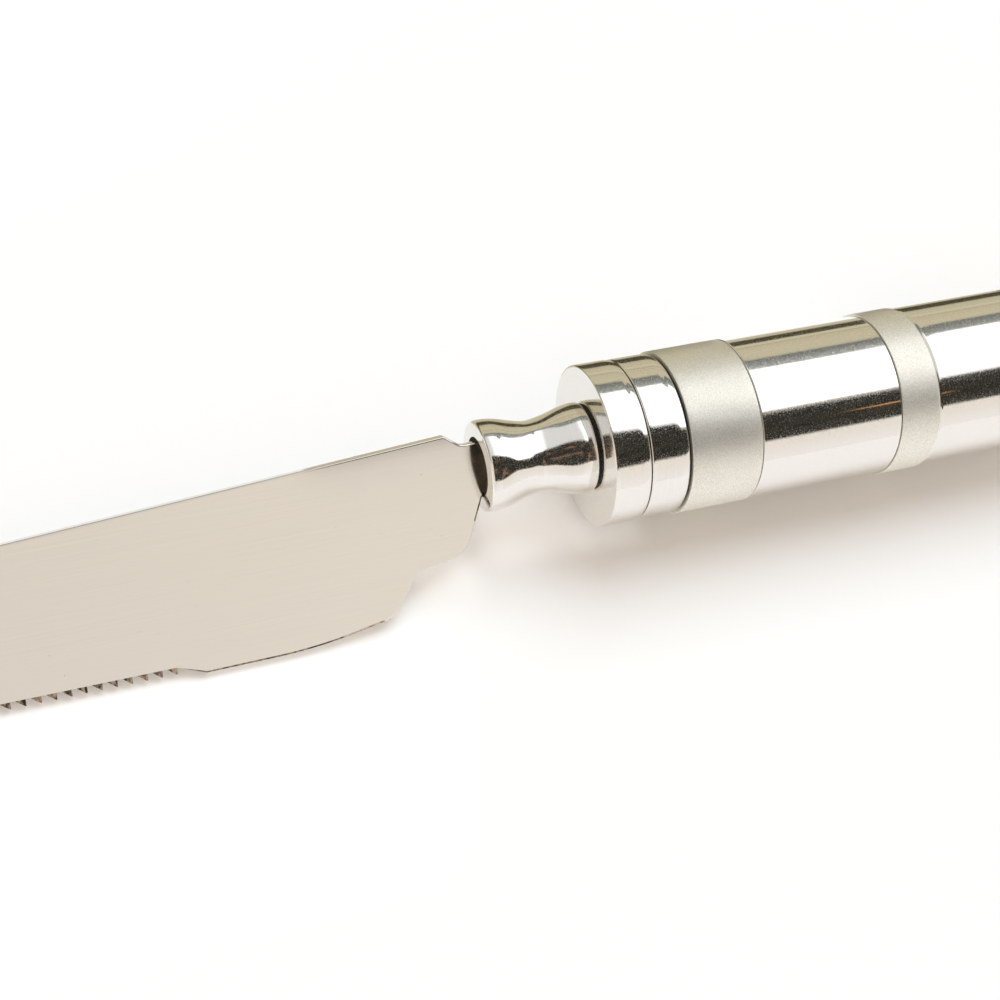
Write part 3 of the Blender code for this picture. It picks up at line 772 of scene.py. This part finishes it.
corners = [(neck_front - along, height, rounding) for along, height, rounding in blade_outline()]
blade = new_plate("blade_dressed", -MM, MM, -MM, MM)
bpy.ops.object.mode_set(mode="EDIT")
bpy.ops.mesh.select_all(action="SELECT")
bpy.ops.mesh.merge(type="CENTER")
bpy.ops.mesh.select_all(action="SELECT")
bpy.ops.transform.translate(value=(corners[0][0], 0.0, corners[0][1]))
for (x, z, _), (next_x, next_z, _) in zip(corners, corners[1:]):
    bpy.ops.mesh.extrude_vertices_move(TRANSFORM_OT_translate={"value": (next_x - x, 0.0, next_z - z)})
bpy.ops.mesh.select_all(action="SELECT")
bpy.ops.mesh.edge_face_add()
print("outline walked through", len(corners), "corners")

# %% Round the outline's corners
LONGEST_TANGENT_SHARE = 0.48

for i, (x, z, rounding) in enumerate(corners):
    if rounding:
        here = Vector((x, z))
        before = Vector(corners[i - 1][:2]) - here
        after = Vector(corners[(i + 1) % len(corners)][:2]) - here
        turn = math.pi - before.angle(after)
        longest = LONGEST_TANGENT_SHARE * min(before.length, after.length)
        tangent = min(rounding * MM * math.tan(turn / 2.0), longest)
        pick(blade, lambda place: near(place, x, z))
        bpy.ops.mesh.bevel(offset=tangent, segments=CORNER_STEPS, affect="VERTICES")
print("outline has", len(blade.data.vertices), "points")

# %% Pull the sheet to its thickness
THICKNESS = 1.6 * MM

bpy.ops.mesh.select_all(action="SELECT")
bpy.ops.transform.translate(value=(0.0, -THICKNESS / 2.0, 0.0))
bpy.ops.mesh.extrude_region_move(TRANSFORM_OT_translate={"value": (0.0, THICKNESS, 0.0)})
bpy.ops.mesh.select_all(action="SELECT")
bpy.ops.mesh.normals_make_consistent(inside=False)
print("sheet is", THICKNESS / MM, "mm thick")

# %% Soften the sheet's edges
EDGE_SOFTNESS = 0.32 * MM
EDGE_FACETS = 4
TANG_SLACK = 0.1 * MM


def on_toothed_edge(place):
    """True on the root line of the teeth, between the plain edge and the tip's round."""
    along = neck_front - place.x
    if along < serration_start - MERGE_MM * MM or along > serration_end:
        return False
    return abs(place.z - gullet_height(along)) < 2.0 * MERGE_MM * MM


def pick_edges(piece, test):
    """Selects, in edit mode, the edges whose two ends pass a test together."""
    bpy.ops.object.mode_set(mode="EDIT")
    bpy.ops.mesh.select_mode(type="EDGE")
    bpy.ops.mesh.select_all(action="DESELECT")
    bpy.ops.object.mode_set(mode="OBJECT")
    for edge in piece.data.edges:
        a, b = (piece.data.vertices[i].co for i in edge.vertices)
        edge.select = test(a, b)
    bpy.ops.object.mode_set(mode="EDIT")


def softened(a, b):
    """Outline edges of either side, apart from the tang and the toothed root."""
    along_sheet = abs(a.y - b.y) < MERGE_MM * MM
    in_tang = min(a.x, b.x) > neck_front - TANG_SLACK
    return along_sheet and not in_tang and not (on_toothed_edge(a) and on_toothed_edge(b))


pick_edges(blade, softened)
bpy.ops.mesh.bevel(offset=EDGE_SOFTNESS, segments=EDGE_FACETS, affect="EDGES", clamp_overlap=False)
bpy.ops.object.mode_set(mode="OBJECT")
print("blade sheet has", len(blade.data.polygons), "faces")

# %% [markdown]
# ## The teeth
# The teeth are small saw teeth: upright towards the handle, slanted towards the tip, and ground
# from the front only. Modelling some seventy teeth one by one would be slow, but their roots are
# already separate faces under the blade, because the outline was walked from root to root. All of
# them are pulled down at once, and then whole groups of corners are moved together.

# %% Pull the teeth out of the edge
ROOT_SLACK = 0.02 * MM
LEVEL_NORMAL = 0.9


def tooth_root(face):
    """True for a face under the blade from which a tooth grows."""
    along = neck_front - face.center.x
    step = (along - serration_start) / TOOTH_PITCH
    in_row = 0.0 < step < tooth_count
    in_tooth = (step % 1.0) > (TOOTH_PITCH - TOOTH_WIDTH) / TOOTH_PITCH
    level = abs(face.normal.z) > LEVEL_NORMAL
    on_root = abs(face.center.z - gullet_height(along)) < ROOT_SLACK
    return in_row and in_tooth and level and on_root


def pick_faces(piece, test):
    """Selects, in edit mode, the faces that pass a test."""
    bpy.ops.object.mode_set(mode="EDIT")
    bpy.ops.mesh.select_mode(type="FACE")
    bpy.ops.mesh.select_all(action="DESELECT")
    bpy.ops.object.mode_set(mode="OBJECT")
    for face in piece.data.polygons:
        face.select = test(face)
    bpy.ops.object.mode_set(mode="EDIT")


root_count = sum(tooth_root(face) for face in blade.data.polygons)
pick_faces(blade, tooth_root)
bpy.ops.mesh.extrude_region_move(TRANSFORM_OT_translate={"value": (0.0, 0.0, -TOOTH_DEPTH)})
print("pulled", root_count, "teeth")

# %% Slant, grind and round the teeth
EDGE_LAND = 0.9 * MM
TOOTH_ROUND = 0.28 * MM
TOOTH_ROUND_STEPS = 3
SLANTED_SHARES = (0.5, 1.2)


def tooth_share(place):
    """How far a point lies from its tooth's upright side, as a share of the tooth's width."""
    along = neck_front - place.x - serration_start - (TOOTH_PITCH - TOOTH_WIDTH)
    return (along % TOOTH_PITCH) / TOOTH_WIDTH


def under_root(place):
    """True in the lower half of the teeth."""
    along = neck_front - place.x
    in_row = serration_start < along < serration_end
    return in_row and place.z < gullet_height(along) - TOOTH_DEPTH / 2.0


def slanted(place):
    """True for the lower corners towards the tip, which go up to the root line again."""
    return under_root(place) and SLANTED_SHARES[0] < tooth_share(place) < SLANTED_SHARES[1]


pick(blade, slanted)
bpy.ops.transform.translate(value=(0.0, 0.0, TOOTH_DEPTH))
pick(blade, lambda place: under_root(place) and place.y < 0.0)
bpy.ops.transform.translate(value=(0.0, THICKNESS - EDGE_LAND, 0.0))
bpy.ops.mesh.select_all(action="SELECT")
bpy.ops.mesh.remove_doubles(threshold=MERGE_MM * MM)
pick(blade, under_root)
bpy.ops.mesh.bevel(offset=TOOTH_ROUND, segments=TOOTH_ROUND_STEPS, affect="EDGES")
bpy.ops.object.mode_set(mode="OBJECT")
print("blade with teeth has", len(blade.data.polygons), "faces")

# %% [markdown]
# ## Where the steel is ground and painted dark
# Three finishes share the blade. The ground one, painted dark as shade, goes on the teeth, on the
# front rim of the plain edge and on a short rim at the shoulder; the paler painted shade goes on
# the rim between heel and plain edge. Each face is picked by its place and the way it points, as it
# would be by hand.

# %% Finish the blade
BLADE_SMOOTH_DEGREES = 15.0
# the dark painted shade runs along the plain edge's rim from here to the teeth
PLAIN_EDGE_START = 24.0 * MM
# the painted shade turns paler from here to the start of the plain edge
FADING_SHADE_START = 20.0 * MM
SHOULDER_RIM = (0.3 * MM, 1.9 * MM)
RIM_NORMAL = 0.1

smooth_piece(blade, BLADE_SMOOTH_DEGREES)
blade.data.materials.append(STEEL)
blade.data.materials.append(GROUND_PAINTED_SHADE)
blade.data.materials.append(FADING_PAINTED_SHADE)


def edge_rim(face):
    """True on the softened front rim under the blade."""
    return face.normal.z < -RIM_NORMAL and face.center.y < 0.0


def shoulder_rim(face):
    """True on the short front rim at the shoulder, beside the neck."""
    along = neck_front - face.center.x
    in_span = SHOULDER_RIM[0] < along < SHOULDER_RIM[1]
    return in_span and face.normal.x > RIM_NORMAL and face.center.y < 0.0


def dark_painted_shade_face(face):
    """True on the teeth, and on the front rims of the plain edge and the shoulder, all painted dark as
    shade.
    """
    along = neck_front - face.center.x
    if serration_start < along < serration_end:
        return face.center.z < gullet_height(along) - ROOT_SLACK
    plain_edge = PLAIN_EDGE_START < along < serration_start and edge_rim(face)
    return plain_edge or shoulder_rim(face)


def fading_painted_shade_face(face):
    """True on the front rim of the edge where it runs into the heel, where the painted shade is paler.
    """
    return FADING_SHADE_START < neck_front - face.center.x < PLAIN_EDGE_START and edge_rim(face)


# slot 1 takes the dark painted shade, slot 2 its paler end
for index, test in ((1, dark_painted_shade_face), (2, fading_painted_shade_face)):
    pick_faces(blade, test)
    blade.active_material_index = index
    bpy.ops.object.material_slot_assign()
bpy.ops.object.mode_set(mode="OBJECT")
blade.matrix_world = table_pose
bpy.ops.object.transform_apply(location=True, rotation=True, scale=True)
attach(blade, "root")
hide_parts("blade")
# counts the faces that carry painted shade
painted_shade_face_count = sum(face.material_index > 0 for face in blade.data.polygons)
print("blade has", painted_shade_face_count, "ground faces of", len(blade.data.polygons))

# %% [markdown]
# ## What stays inside
# The core tube, bushes, rod, nut and filler are right as the frame has them, and hardly anything
# of them shows. They keep their shape and only change their finish.

# %% Dress the inner nodes
INNER = {
    "tang_bond": FILLER,
    "core_tube": BLASTED,
    "front_bush": TURNED_STEEL,
    "rear_bush": TURNED_STEEL,
    "tie_rod": TURNED_STEEL,
    "clamp_washer": TURNED_STEEL,
    "clamp_nut": TURNED_STEEL,
}
for node, finish in INNER.items():
    frame["nodes"][node].material_slots[0].material = finish
print("dressed", len(INNER), "inner nodes")

# %% [markdown]
# ## The table
# The table is a large sheet of plain white paper. It only has to be pale and carry the knife's
# shadow, so a matt shader with no highlight is enough, and it needs no pattern.

# %% White table
TABLE_SIZE = 6.0
PAPER_WHITE = "#F5F5F5"
PAPER_ROUGHNESS = 0.9

bpy.ops.object.select_all(action="DESELECT")
bpy.ops.mesh.primitive_plane_add(size=TABLE_SIZE, location=(0.0, 0.0, 0.0))
table = bpy.context.object
table.name = "table"
paper, tree, shader = new_finish("white_paper")
shader.inputs["Base Color"].default_value = linear(PAPER_WHITE)
shader.inputs["Roughness"].default_value = PAPER_ROUGHNESS
shader.inputs["Specular IOR Level"].default_value = 0.0
table.data.materials.append(paper)
print("table", TABLE_SIZE, "m wide")

# %% [markdown]
# ## Bands with soft borders
# A studio is easiest to paint in bands: this tone from here to there. A few small functions write
# such a band as a mask between 0 and 1, and one gives the angle that most bands are counted in. Each
# takes the node tree to draw in, so that the world and the sheets near the handle can share them.


# %% Masks for the studio
def step(tree, source, place, softness):
    """0 before a place and 1 after it, with a soft border; a negative softness swaps them."""
    limits = {"From Min": place - softness, "From Max": place + softness}
    return add(tree, "ShaderNodeMapRange", {"Value": source}, limits).outputs["Result"]


def both(tree, a, b):
    """1 where two masks are both 1."""
    return add(tree, "ShaderNodeMath", {0: a, 1: b}, operation="MULTIPLY").outputs["Value"]


def between(tree, source, limits, softness):
    """1 between two places, with soft borders."""
    start, end = limits
    return both(tree, step(tree, source, start, softness), step(tree, source, end, -softness))


def angle_from_up(tree, way):
    """Degrees from straight up, counted towards the front, for a direction split into X, Y and Z."""
    front = add(tree, "ShaderNodeMath", {0: way.outputs["Y"]}, {1: -1.0}, operation="MULTIPLY")
    turn = add(tree, "ShaderNodeMath", {0: front.outputs["Value"], 1: way.outputs["Z"]},
               operation="ARCTAN2")
    return add(tree, "ShaderNodeMath", {0: turn.outputs["Value"]}, operation="DEGREES").outputs["Value"]


print("masks ready")

# %% [markdown]
# ## The studio
# Polished metal shows its surroundings and little else, so the studio is part of the look: a wide
# softbox overhead and behind, a warm wall in front and an olive wall low at the back. They lie far
# away, so they are painted on the world by direction. Two numbers name a direction: the angle from
# straight up, counted towards the blade's front, and the sideways part, from -1 on the left to 1 on
# the right. The wall gets a little brighter from left to right and dims again in front. At the
# back, where the front sleeve mirrors it, its bands lie some degrees higher.

# %% The room, painted in bands
ROOM = [
    # degrees from straight up, colour
    (-180.0, "#F2EEE8"),
    (-150.0, "#B9AF93"),
    (-71.0, "#CFC6AB"),
    (-68.0, "#6F736E"),
    (-54.0, "#9A9E9A"),
    (18.0, "#CFCBC2"),
    (24.0, "#F5E6D2"),
    (57.0, "#F5E6D2"),
    (59.0, "#FCF5EC"),
    (70.0, "#FCF5EC"),
    (88.0, "#FFFDFB"),
    (180.0, "#FFFDFB"),
]
ANGLE_SOFTNESS = 1.5
SIDE_SOFTNESS = 0.015
SLEEVE_SIDES = (0.404, 0.498)
SLEEVE_BACK_TURN = -6.5
ROOM_FALLOFF = {"From Min": 0.0, "From Max": 0.28, "To Min": 0.94, "To Max": 1.03}
FRONT_DIMMING = {"From Min": 0.30, "From Max": 0.36, "To Min": 1.0, "To Max": 0.93}
FRONT_FROM = 30.0

world = bpy.data.worlds.new("studio")
bpy.context.scene.world = world
world.use_nodes = True
tree = world.node_tree
tree.nodes.clear()
coords = add(tree, "ShaderNodeTexCoord")
way = add(tree, "ShaderNodeSeparateXYZ", {"Vector": coords.outputs["Generated"]})
side = way.outputs["X"]
angle = angle_from_up(tree, way)
by_sleeve = both(tree, between(tree, side, SLEEVE_SIDES, SIDE_SOFTNESS),
                 step(tree, angle, 0.0, -ANGLE_SOFTNESS))
shifted = add(tree, "ShaderNodeMath", {0: by_sleeve, 2: angle}, {1: SLEEVE_BACK_TURN},
              operation="MULTIPLY_ADD").outputs["Value"]
turn = add(tree, "ShaderNodeMapRange", {"Value": shifted}, {"From Min": -180.0, "From Max": 180.0})
room = ramp_stops(add(tree, "ShaderNodeValToRGB", {"Fac": turn.outputs["Result"]}),
                  [((at + 180.0) / 360.0, linear(colour)) for at, colour in ROOM])
falloff = add(tree, "ShaderNodeMapRange", {"Value": side}, ROOM_FALLOFF)
room = add(tree, "ShaderNodeMix", {6: room.outputs["Color"], 7: falloff.outputs["Result"]}, {0: 1.0},
           data_type="RGBA", blend_type="MULTIPLY")
dimmed = add(tree, "ShaderNodeMapRange", {"Value": side}, FRONT_DIMMING)
in_front = step(tree, angle, FRONT_FROM, ANGLE_SOFTNESS)
room = add(tree, "ShaderNodeMix", {0: in_front, 6: room.outputs[2], 7: dimmed.outputs["Result"]},
           data_type="RGBA", blend_type="MULTIPLY")
print("room has", len(ROOM), "bands")

# %% [markdown]
# ## Softbox, room light and background
# The softbox is the brightest band. It fades towards the left, because from lower views the blade
# mirrors that part and would turn plain white. Matt things such as the table would take coloured
# blotches from a painted room, so they see one even warm light instead. The camera sees plain white
# behind the table.

# %% Softbox and background
SOFTBOX_ANGLES = (-52.0, 18.0)
SOFTBOX_SIDES = (-0.6, 0.9)
SOFTBOX_LEVELS = {"From Min": 0.10, "From Max": 0.28, "To Min": 0.8, "To Max": 1.68}
ROOM_LIGHT = "#FFEFDD"
ROOM_LEVEL = 0.69
BACKGROUND = "#FFFFFF"

softbox = both(tree, between(tree, shifted, SOFTBOX_ANGLES, ANGLE_SOFTNESS),
               between(tree, side, SOFTBOX_SIDES, SIDE_SOFTNESS))
level = add(tree, "ShaderNodeMapRange", {"Value": side}, SOFTBOX_LEVELS)
lit = add(tree, "ShaderNodeMix", {0: softbox, 6: room.outputs[2], 7: level.outputs["Result"]},
          data_type="RGBA")
studio = add(tree, "ShaderNodeBackground", {"Color": lit.outputs[2]}, {"Strength": 1.0})
even = add(tree, "ShaderNodeBackground", values={"Color": linear(ROOM_LIGHT), "Strength": ROOM_LEVEL})
white = add(tree, "ShaderNodeBackground", values={"Color": linear(BACKGROUND), "Strength": 1.0})
path = add(tree, "ShaderNodeLightPath")
seen = add(tree, "ShaderNodeMixShader", {0: path.outputs["Is Diffuse Ray"],
                                         1: studio.outputs["Background"], 2: even.outputs["Background"]})
seen = add(tree, "ShaderNodeMixShader", {0: path.outputs["Is Camera Ray"],
                                         1: seen.outputs["Shader"], 2: white.outputs["Background"]})
add(tree, "ShaderNodeOutputWorld", {"Surface": seen.outputs["Shader"]})
print("softbox", SOFTBOX_ANGLES, "degrees")

# %% [markdown]
# ## The dark flag
# A photographer holds a sheet of black cloth over shiny metal to give it a dark stripe, because
# metal that mirrors only white looks flat. The flag hangs close above the handle and in front of it,
# so the blade beside it stays bright. It is one plane that only mirrors see, and its upper and lower
# borders are cut in the material: each is an angle from straight up that changes along the handle.

# %% Hang the flag over the handle
FLAG_DISTANCE = 60.0 * MM
FLAG_MIDDLE = math.radians(30.0)
FLAG_HALF_WIDTH = 38.0 * MM
FLAG_ENDS = (-30.0 * MM, 118.0 * MM)


def mirror_sheet(name, finish_name, size, turn, place):
    """A plane that only mirrors see, and the empty node tree of its finish."""
    bpy.ops.object.select_all(action="DESELECT")
    bpy.ops.mesh.primitive_plane_add(size=1.0, rotation=(turn, 0.0, 0.0))
    sheet = bpy.context.object
    sheet.name = name
    sheet.scale = (size[0], size[1], 1.0)
    sheet.location = place
    bpy.ops.object.transform_apply(location=True, rotation=True, scale=True)
    finish = bpy.data.materials.new(finish_name)
    finish.use_nodes = True
    finish.node_tree.nodes.clear()
    sheet.data.materials.append(finish)
    sheet.visible_camera = False
    sheet.visible_diffuse = False
    sheet.visible_shadow = False
    sheet.visible_transmission = False
    return sheet, finish.node_tree


flag_size = (FLAG_ENDS[1] - FLAG_ENDS[0], 2.0 * FLAG_HALF_WIDTH)
flag_way = Vector((0.0, -math.sin(FLAG_MIDDLE), math.cos(FLAG_MIDDLE)))
flag_place = axis_point + Vector((sum(FLAG_ENDS) / 2.0, 0.0, 0.0)) + FLAG_DISTANCE * flag_way
flag, tree = mirror_sheet("flag", "black_flag_cloth", flag_size, FLAG_MIDDLE, flag_place)
print("flag hangs", FLAG_DISTANCE / MM, "mm from the axis")

# %% Cut the flag's borders
FLAG_BORDERS = [
    # place along the axis in mm, angle of the upper and of the lower border in degrees
    (-30.0, 0.6, 56.0),
    (2.0, 3.5, 56.0),
    (13.0, 7.8, 55.5),
    (19.0, 8.4, 54.2),
    (32.0, 11.6, 54.2),
    (43.0, 19.9, 54.6),
    (46.0, 19.9, 56.1),
    (75.0, 19.9, 56.1),
    (81.0, 17.5, 54.2),
    (118.0, 16.5, 54.2),
]
FLAG_MOST_DEGREES = 90.0
FLAG_BLUR = 3.0
FLAG_FOOT_BLUR = 1.5

coords = add(tree, "ShaderNodeTexCoord")
centred = add(tree, "ShaderNodeMapping", {"Vector": coords.outputs["Object"]}, {"Location": -axis_point})
spot = add(tree, "ShaderNodeSeparateXYZ", {"Vector": centred.outputs["Vector"]})
angle = angle_from_up(tree, spot)
along = spot.outputs["X"]
share = add(tree, "ShaderNodeMapRange", {"Value": along},
            {"From Min": FLAG_ENDS[0], "From Max": FLAG_ENDS[1]})


def past_border(column):
    """Degrees past the flag's upper (1) or lower (2) border, which changes along the axis."""
    stops = []
    for row in FLAG_BORDERS:
        place = (row[0] * MM - FLAG_ENDS[0]) / (FLAG_ENDS[1] - FLAG_ENDS[0])
        grey = row[column] / FLAG_MOST_DEGREES
        stops.append((place, (grey, grey, grey, 1.0)))
    curve = ramp_stops(add(tree, "ShaderNodeValToRGB", {"Fac": share.outputs["Result"]}), stops)
    degrees = add(tree, "ShaderNodeMath", {0: curve.outputs["Color"]}, {1: FLAG_MOST_DEGREES},
                  operation="MULTIPLY")
    past = add(tree, "ShaderNodeMath", {0: angle, 1: degrees.outputs["Value"]}, operation="SUBTRACT")
    return past.outputs["Value"]


dark = both(tree, step(tree, past_border(1), 0.0, FLAG_BLUR),
            step(tree, past_border(2), 0.0, -FLAG_FOOT_BLUR))
print("flag borders follow", len(FLAG_BORDERS), "places")

# %% The flag's cloth
FLAG_TONES = [(0.35, "#262521"), (0.70, "#403E36")]
FLAG_WEAVE_MM = 6.7
FLAG_END_BLUR = 3.0 * MM
FADED = "#8E705F"
FADED_MM = 10.0
FADED_FROM = 0.60
FADED_BLUR = 0.06
FADED_END = 17.0 * MM
WARM_LINE = (36.2, 37.4)
WARM_LINE_SPAN = (64.0 * MM, 83.0 * MM)
WARM_LINE_TONE = "#E8B078"
WARM_LINE_BLUR = 0.5

weave = add(tree, "ShaderNodeTexNoise", {"Vector": centred.outputs["Vector"]},
            {"Scale": per_metre(FLAG_WEAVE_MM), "Detail": 4.0})
cloth = ramp_stops(add(tree, "ShaderNodeValToRGB", {"Fac": weave.outputs["Fac"]}),
                   [(place, linear(colour)) for place, colour in FLAG_TONES])
blots = add(tree, "ShaderNodeTexNoise", {"Vector": centred.outputs["Vector"]},
            {"Scale": per_metre(FADED_MM), "Detail": 3.0})
faded = both(tree, step(tree, blots.outputs["Fac"], FADED_FROM, FADED_BLUR),
             step(tree, along, FADED_END, -FLAG_END_BLUR))
cloth = add(tree, "ShaderNodeMix", {0: faded, 6: cloth.outputs["Color"]}, {7: linear(FADED)},
            data_type="RGBA")
warm = both(tree, between(tree, angle, WARM_LINE, WARM_LINE_BLUR),
            between(tree, along, WARM_LINE_SPAN, FLAG_END_BLUR))
cloth = add(tree, "ShaderNodeMix", {0: warm, 6: cloth.outputs[2]}, {7: linear(WARM_LINE_TONE)},
            data_type="RGBA")
shade = add(tree, "ShaderNodeEmission", {"Color": cloth.outputs[2]}, {"Strength": 1.0})
clear = add(tree, "ShaderNodeBsdfTransparent")
hung = add(tree, "ShaderNodeMixShader",
           {0: dark, 1: clear.outputs["BSDF"], 2: shade.outputs["Emission"]})
add(tree, "ShaderNodeOutputMaterial", {"Surface": hung.outputs["Shader"]})
print("flag cloth has", len(tree.nodes), "nodes")

# %% [markdown]
# ## A strip of card behind the handle
# The top of the handle mirrors what stands close behind it, below the softbox. A low strip of card
# stands there, seen only by mirrors: olive with faint level lines, and one dark stripe. Beside the
# front sleeve the stripe lies higher, and the foot of the card is white.

# %% Stand the card up
CARD_FROM_AXIS = 18.0 * MM
CARD_FOOT = 0.5 * MM
CARD_TOP = 27.0 * MM
CARD_ENDS = (-40.0 * MM, 150.0 * MM)

card_size = (CARD_ENDS[1] - CARD_ENDS[0], CARD_TOP - CARD_FOOT)
card_place = Vector((axis_point.x + sum(CARD_ENDS) / 2.0, axis_point.y + CARD_FROM_AXIS,
                     (CARD_TOP + CARD_FOOT) / 2.0))
card, tree = mirror_sheet("card", "dark_and_olive_card", card_size, math.pi / 2.0, card_place)
print("card from", CARD_FOOT / MM, "to", CARD_TOP / MM, "mm high")

# %% Paint the card
CARD_LINES_MM = 1.6
CARD_OLIVE = [(0.3, "#AFA688"), (0.7, "#E2D9BE")]
CARD_DARK_TONE = "#4B4737"
CARD_DARK = (12.2 * MM, 17.4 * MM)
CARD_SLEEVE_SPAN = (27.0 * MM, 52.0 * MM)
CARD_SLEEVE_DARK = (17.5 * MM, 20.8 * MM)
CARD_SLEEVE_WHITE = 14.7 * MM
CARD_WHITE = 1.15
CARD_BLUR = 0.3 * MM

coords = add(tree, "ShaderNodeTexCoord")
spot = add(tree, "ShaderNodeSeparateXYZ", {"Vector": coords.outputs["Object"]})
height = spot.outputs["Z"]
upright = add(tree, "ShaderNodeCombineXYZ", {"Z": height})
lines = add(tree, "ShaderNodeTexNoise", {"Vector": upright.outputs["Vector"]},
            {"Scale": per_metre(CARD_LINES_MM), "Detail": 2.0})
olive = ramp_stops(add(tree, "ShaderNodeValToRGB", {"Fac": lines.outputs["Fac"]}),
                   [(place, linear(colour)) for place, colour in CARD_OLIVE])
span = [axis_point.x + end for end in CARD_SLEEVE_SPAN]
by_sleeve = between(tree, spot.outputs["X"], span, CARD_BLUR)
stripe = add(tree, "ShaderNodeMix", {0: by_sleeve, 2: between(tree, height, CARD_DARK, CARD_BLUR),
                                     3: between(tree, height, CARD_SLEEVE_DARK, CARD_BLUR)})
tone = add(tree, "ShaderNodeMix", {0: stripe.outputs[0], 6: olive.outputs["Color"]},
           {7: linear(CARD_DARK_TONE)}, data_type="RGBA")
pale = both(tree, by_sleeve, step(tree, height, CARD_SLEEVE_WHITE, -CARD_BLUR))
tone = add(tree, "ShaderNodeMix", {0: pale, 6: tone.outputs[2]},
           {7: (CARD_WHITE, CARD_WHITE, CARD_WHITE, 1.0)}, data_type="RGBA")
shine = add(tree, "ShaderNodeEmission", {"Color": tone.outputs[2]}, {"Strength": 1.0})
add(tree, "ShaderNodeOutputMaterial", {"Surface": shine.outputs["Emission"]})
print("card finish has", len(tree.nodes), "nodes")

# %% [markdown]
# ## The key light
# The shadow lies in front of the knife and has a wide soft border, so its light comes from above and
# behind, a little from the right, and is large. A sun with a wide angle gives that with one lamp.
# Mirrors don't see it, because the painted studio already holds what they should show.

# %% Key light
KEY_ANGLE = math.radians(-27.0)
KEY_RIGHT = math.radians(16.0)
KEY_WIDTH = math.radians(42.0)
KEY_LEVEL = 2.17
KEY_COLOUR = "#E1F0FD"

key_way = Vector((math.sin(KEY_RIGHT), -math.sin(KEY_ANGLE) * math.cos(KEY_RIGHT),
                  math.cos(KEY_ANGLE) * math.cos(KEY_RIGHT)))
key = bpy.data.lights.new("key", "SUN")
key.angle = KEY_WIDTH
key.energy = KEY_LEVEL
key.color = linear(KEY_COLOUR)[:3]
lamp = bpy.data.objects.new("key", key)
bpy.context.scene.collection.objects.link(lamp)
lamp.rotation_euler = key_way.to_track_quat("Z", "Y").to_euler()
lamp.visible_glossy = False
print("key light comes from", [round(c, 2) for c in key_way])

# %% [markdown]
# ## Small lamps over the table
# A long strip in front of the blade lifts the shadow along the teeth. Polished metal also throws
# light on the table close beside it, at the neck, the first rings and the heel. A path tracer finds
# such light slowly and with noise, so small rectangular lamps just over the table stand for it.

# %% Fill strip in front of the blade
FILL_SPAN = (-180.0 * MM, -36.0 * MM)
FILL_FRONT = 70.0 * MM
FILL_HEIGHT = 24.0 * MM
FILL_DEPTH = 20.0 * MM
FILL_SPREAD = math.radians(50.0)
FILL_WATTS = 0.0075


def table_lamp(name, span, ahead, depth, height, watts):
    """A rectangular lamp that shines down in front of the axis, unseen by camera and mirrors."""
    light = bpy.data.lights.new(name, "AREA")
    light.shape = "RECTANGLE"
    light.size = span[1] - span[0]
    light.size_y = depth
    light.energy = watts
    lamp = bpy.data.objects.new(name, light)
    bpy.context.scene.collection.objects.link(lamp)
    lamp.location = (axis_point.x + sum(span) / 2.0, axis_point.y - ahead, height)
    lamp.visible_glossy = False
    lamp.visible_camera = False
    print(name, "at", [round(c, 3) for c in lamp.location])
    return lamp


fill = table_lamp("fill", FILL_SPAN, FILL_FRONT, FILL_DEPTH, FILL_HEIGHT, FILL_WATTS)
fill.data.spread = FILL_SPREAD
fill.rotation_euler = (math.atan2(FILL_FRONT, FILL_HEIGHT), 0.0, 0.0)

# %% Light that polished metal throws down
GLINTS = [
    # name, span along the axis, distance in front of it, depth, height in mm, strength in watts
    ("neck_glint", (-16.0, -0.2), 6.0, 11.0, 2.5, 0.00018),
    ("ring_glint", (-1.0, 9.0), 10.0, 5.0, 2.0, 0.00003),
    ("heel_glint", (-34.0, -16.0), 6.0, 12.0, 4.5, 0.00014),
    ("ledge_glint", (-28.0, -19.0), 12.0, 5.0, 2.0, 0.000028),
]
for name, (start, end), ahead, depth, height, watts in GLINTS:
    table_lamp(name, (start * MM, end * MM), ahead * MM, depth * MM, height * MM, watts)

# %% [markdown]
# ## Camera
# The photograph was taken close up with a short telephoto lens, from above the blade's front side
# and rolled, so that the handle climbs to the right. The place is counted from the front face of
# the first ring.

# %% Camera
CAMERA_PLACE_MM = (-90.10, -84.56, 240.51)
CAMERA_TURN_DEGREES = (21.410, -11.832, -15.909)
LENS_MM = 64.8
SENSOR_MM = 36.0
NEAREST = 10.0 * MM

lens = bpy.data.cameras.new("camera")
lens.lens = LENS_MM
lens.sensor_width = SENSOR_MM
lens.clip_start = NEAREST
camera = bpy.data.objects.new("camera", lens)
bpy.context.scene.collection.objects.link(camera)
camera.location = axis_point + Vector(CAMERA_PLACE_MM) * MM
camera.rotation_euler = [math.radians(turn) for turn in CAMERA_TURN_DEGREES]
bpy.context.scene.camera = camera
bpy.context.scene.view_settings.view_transform = "Standard"
print("camera at", [round(c, 3) for c in camera.location])
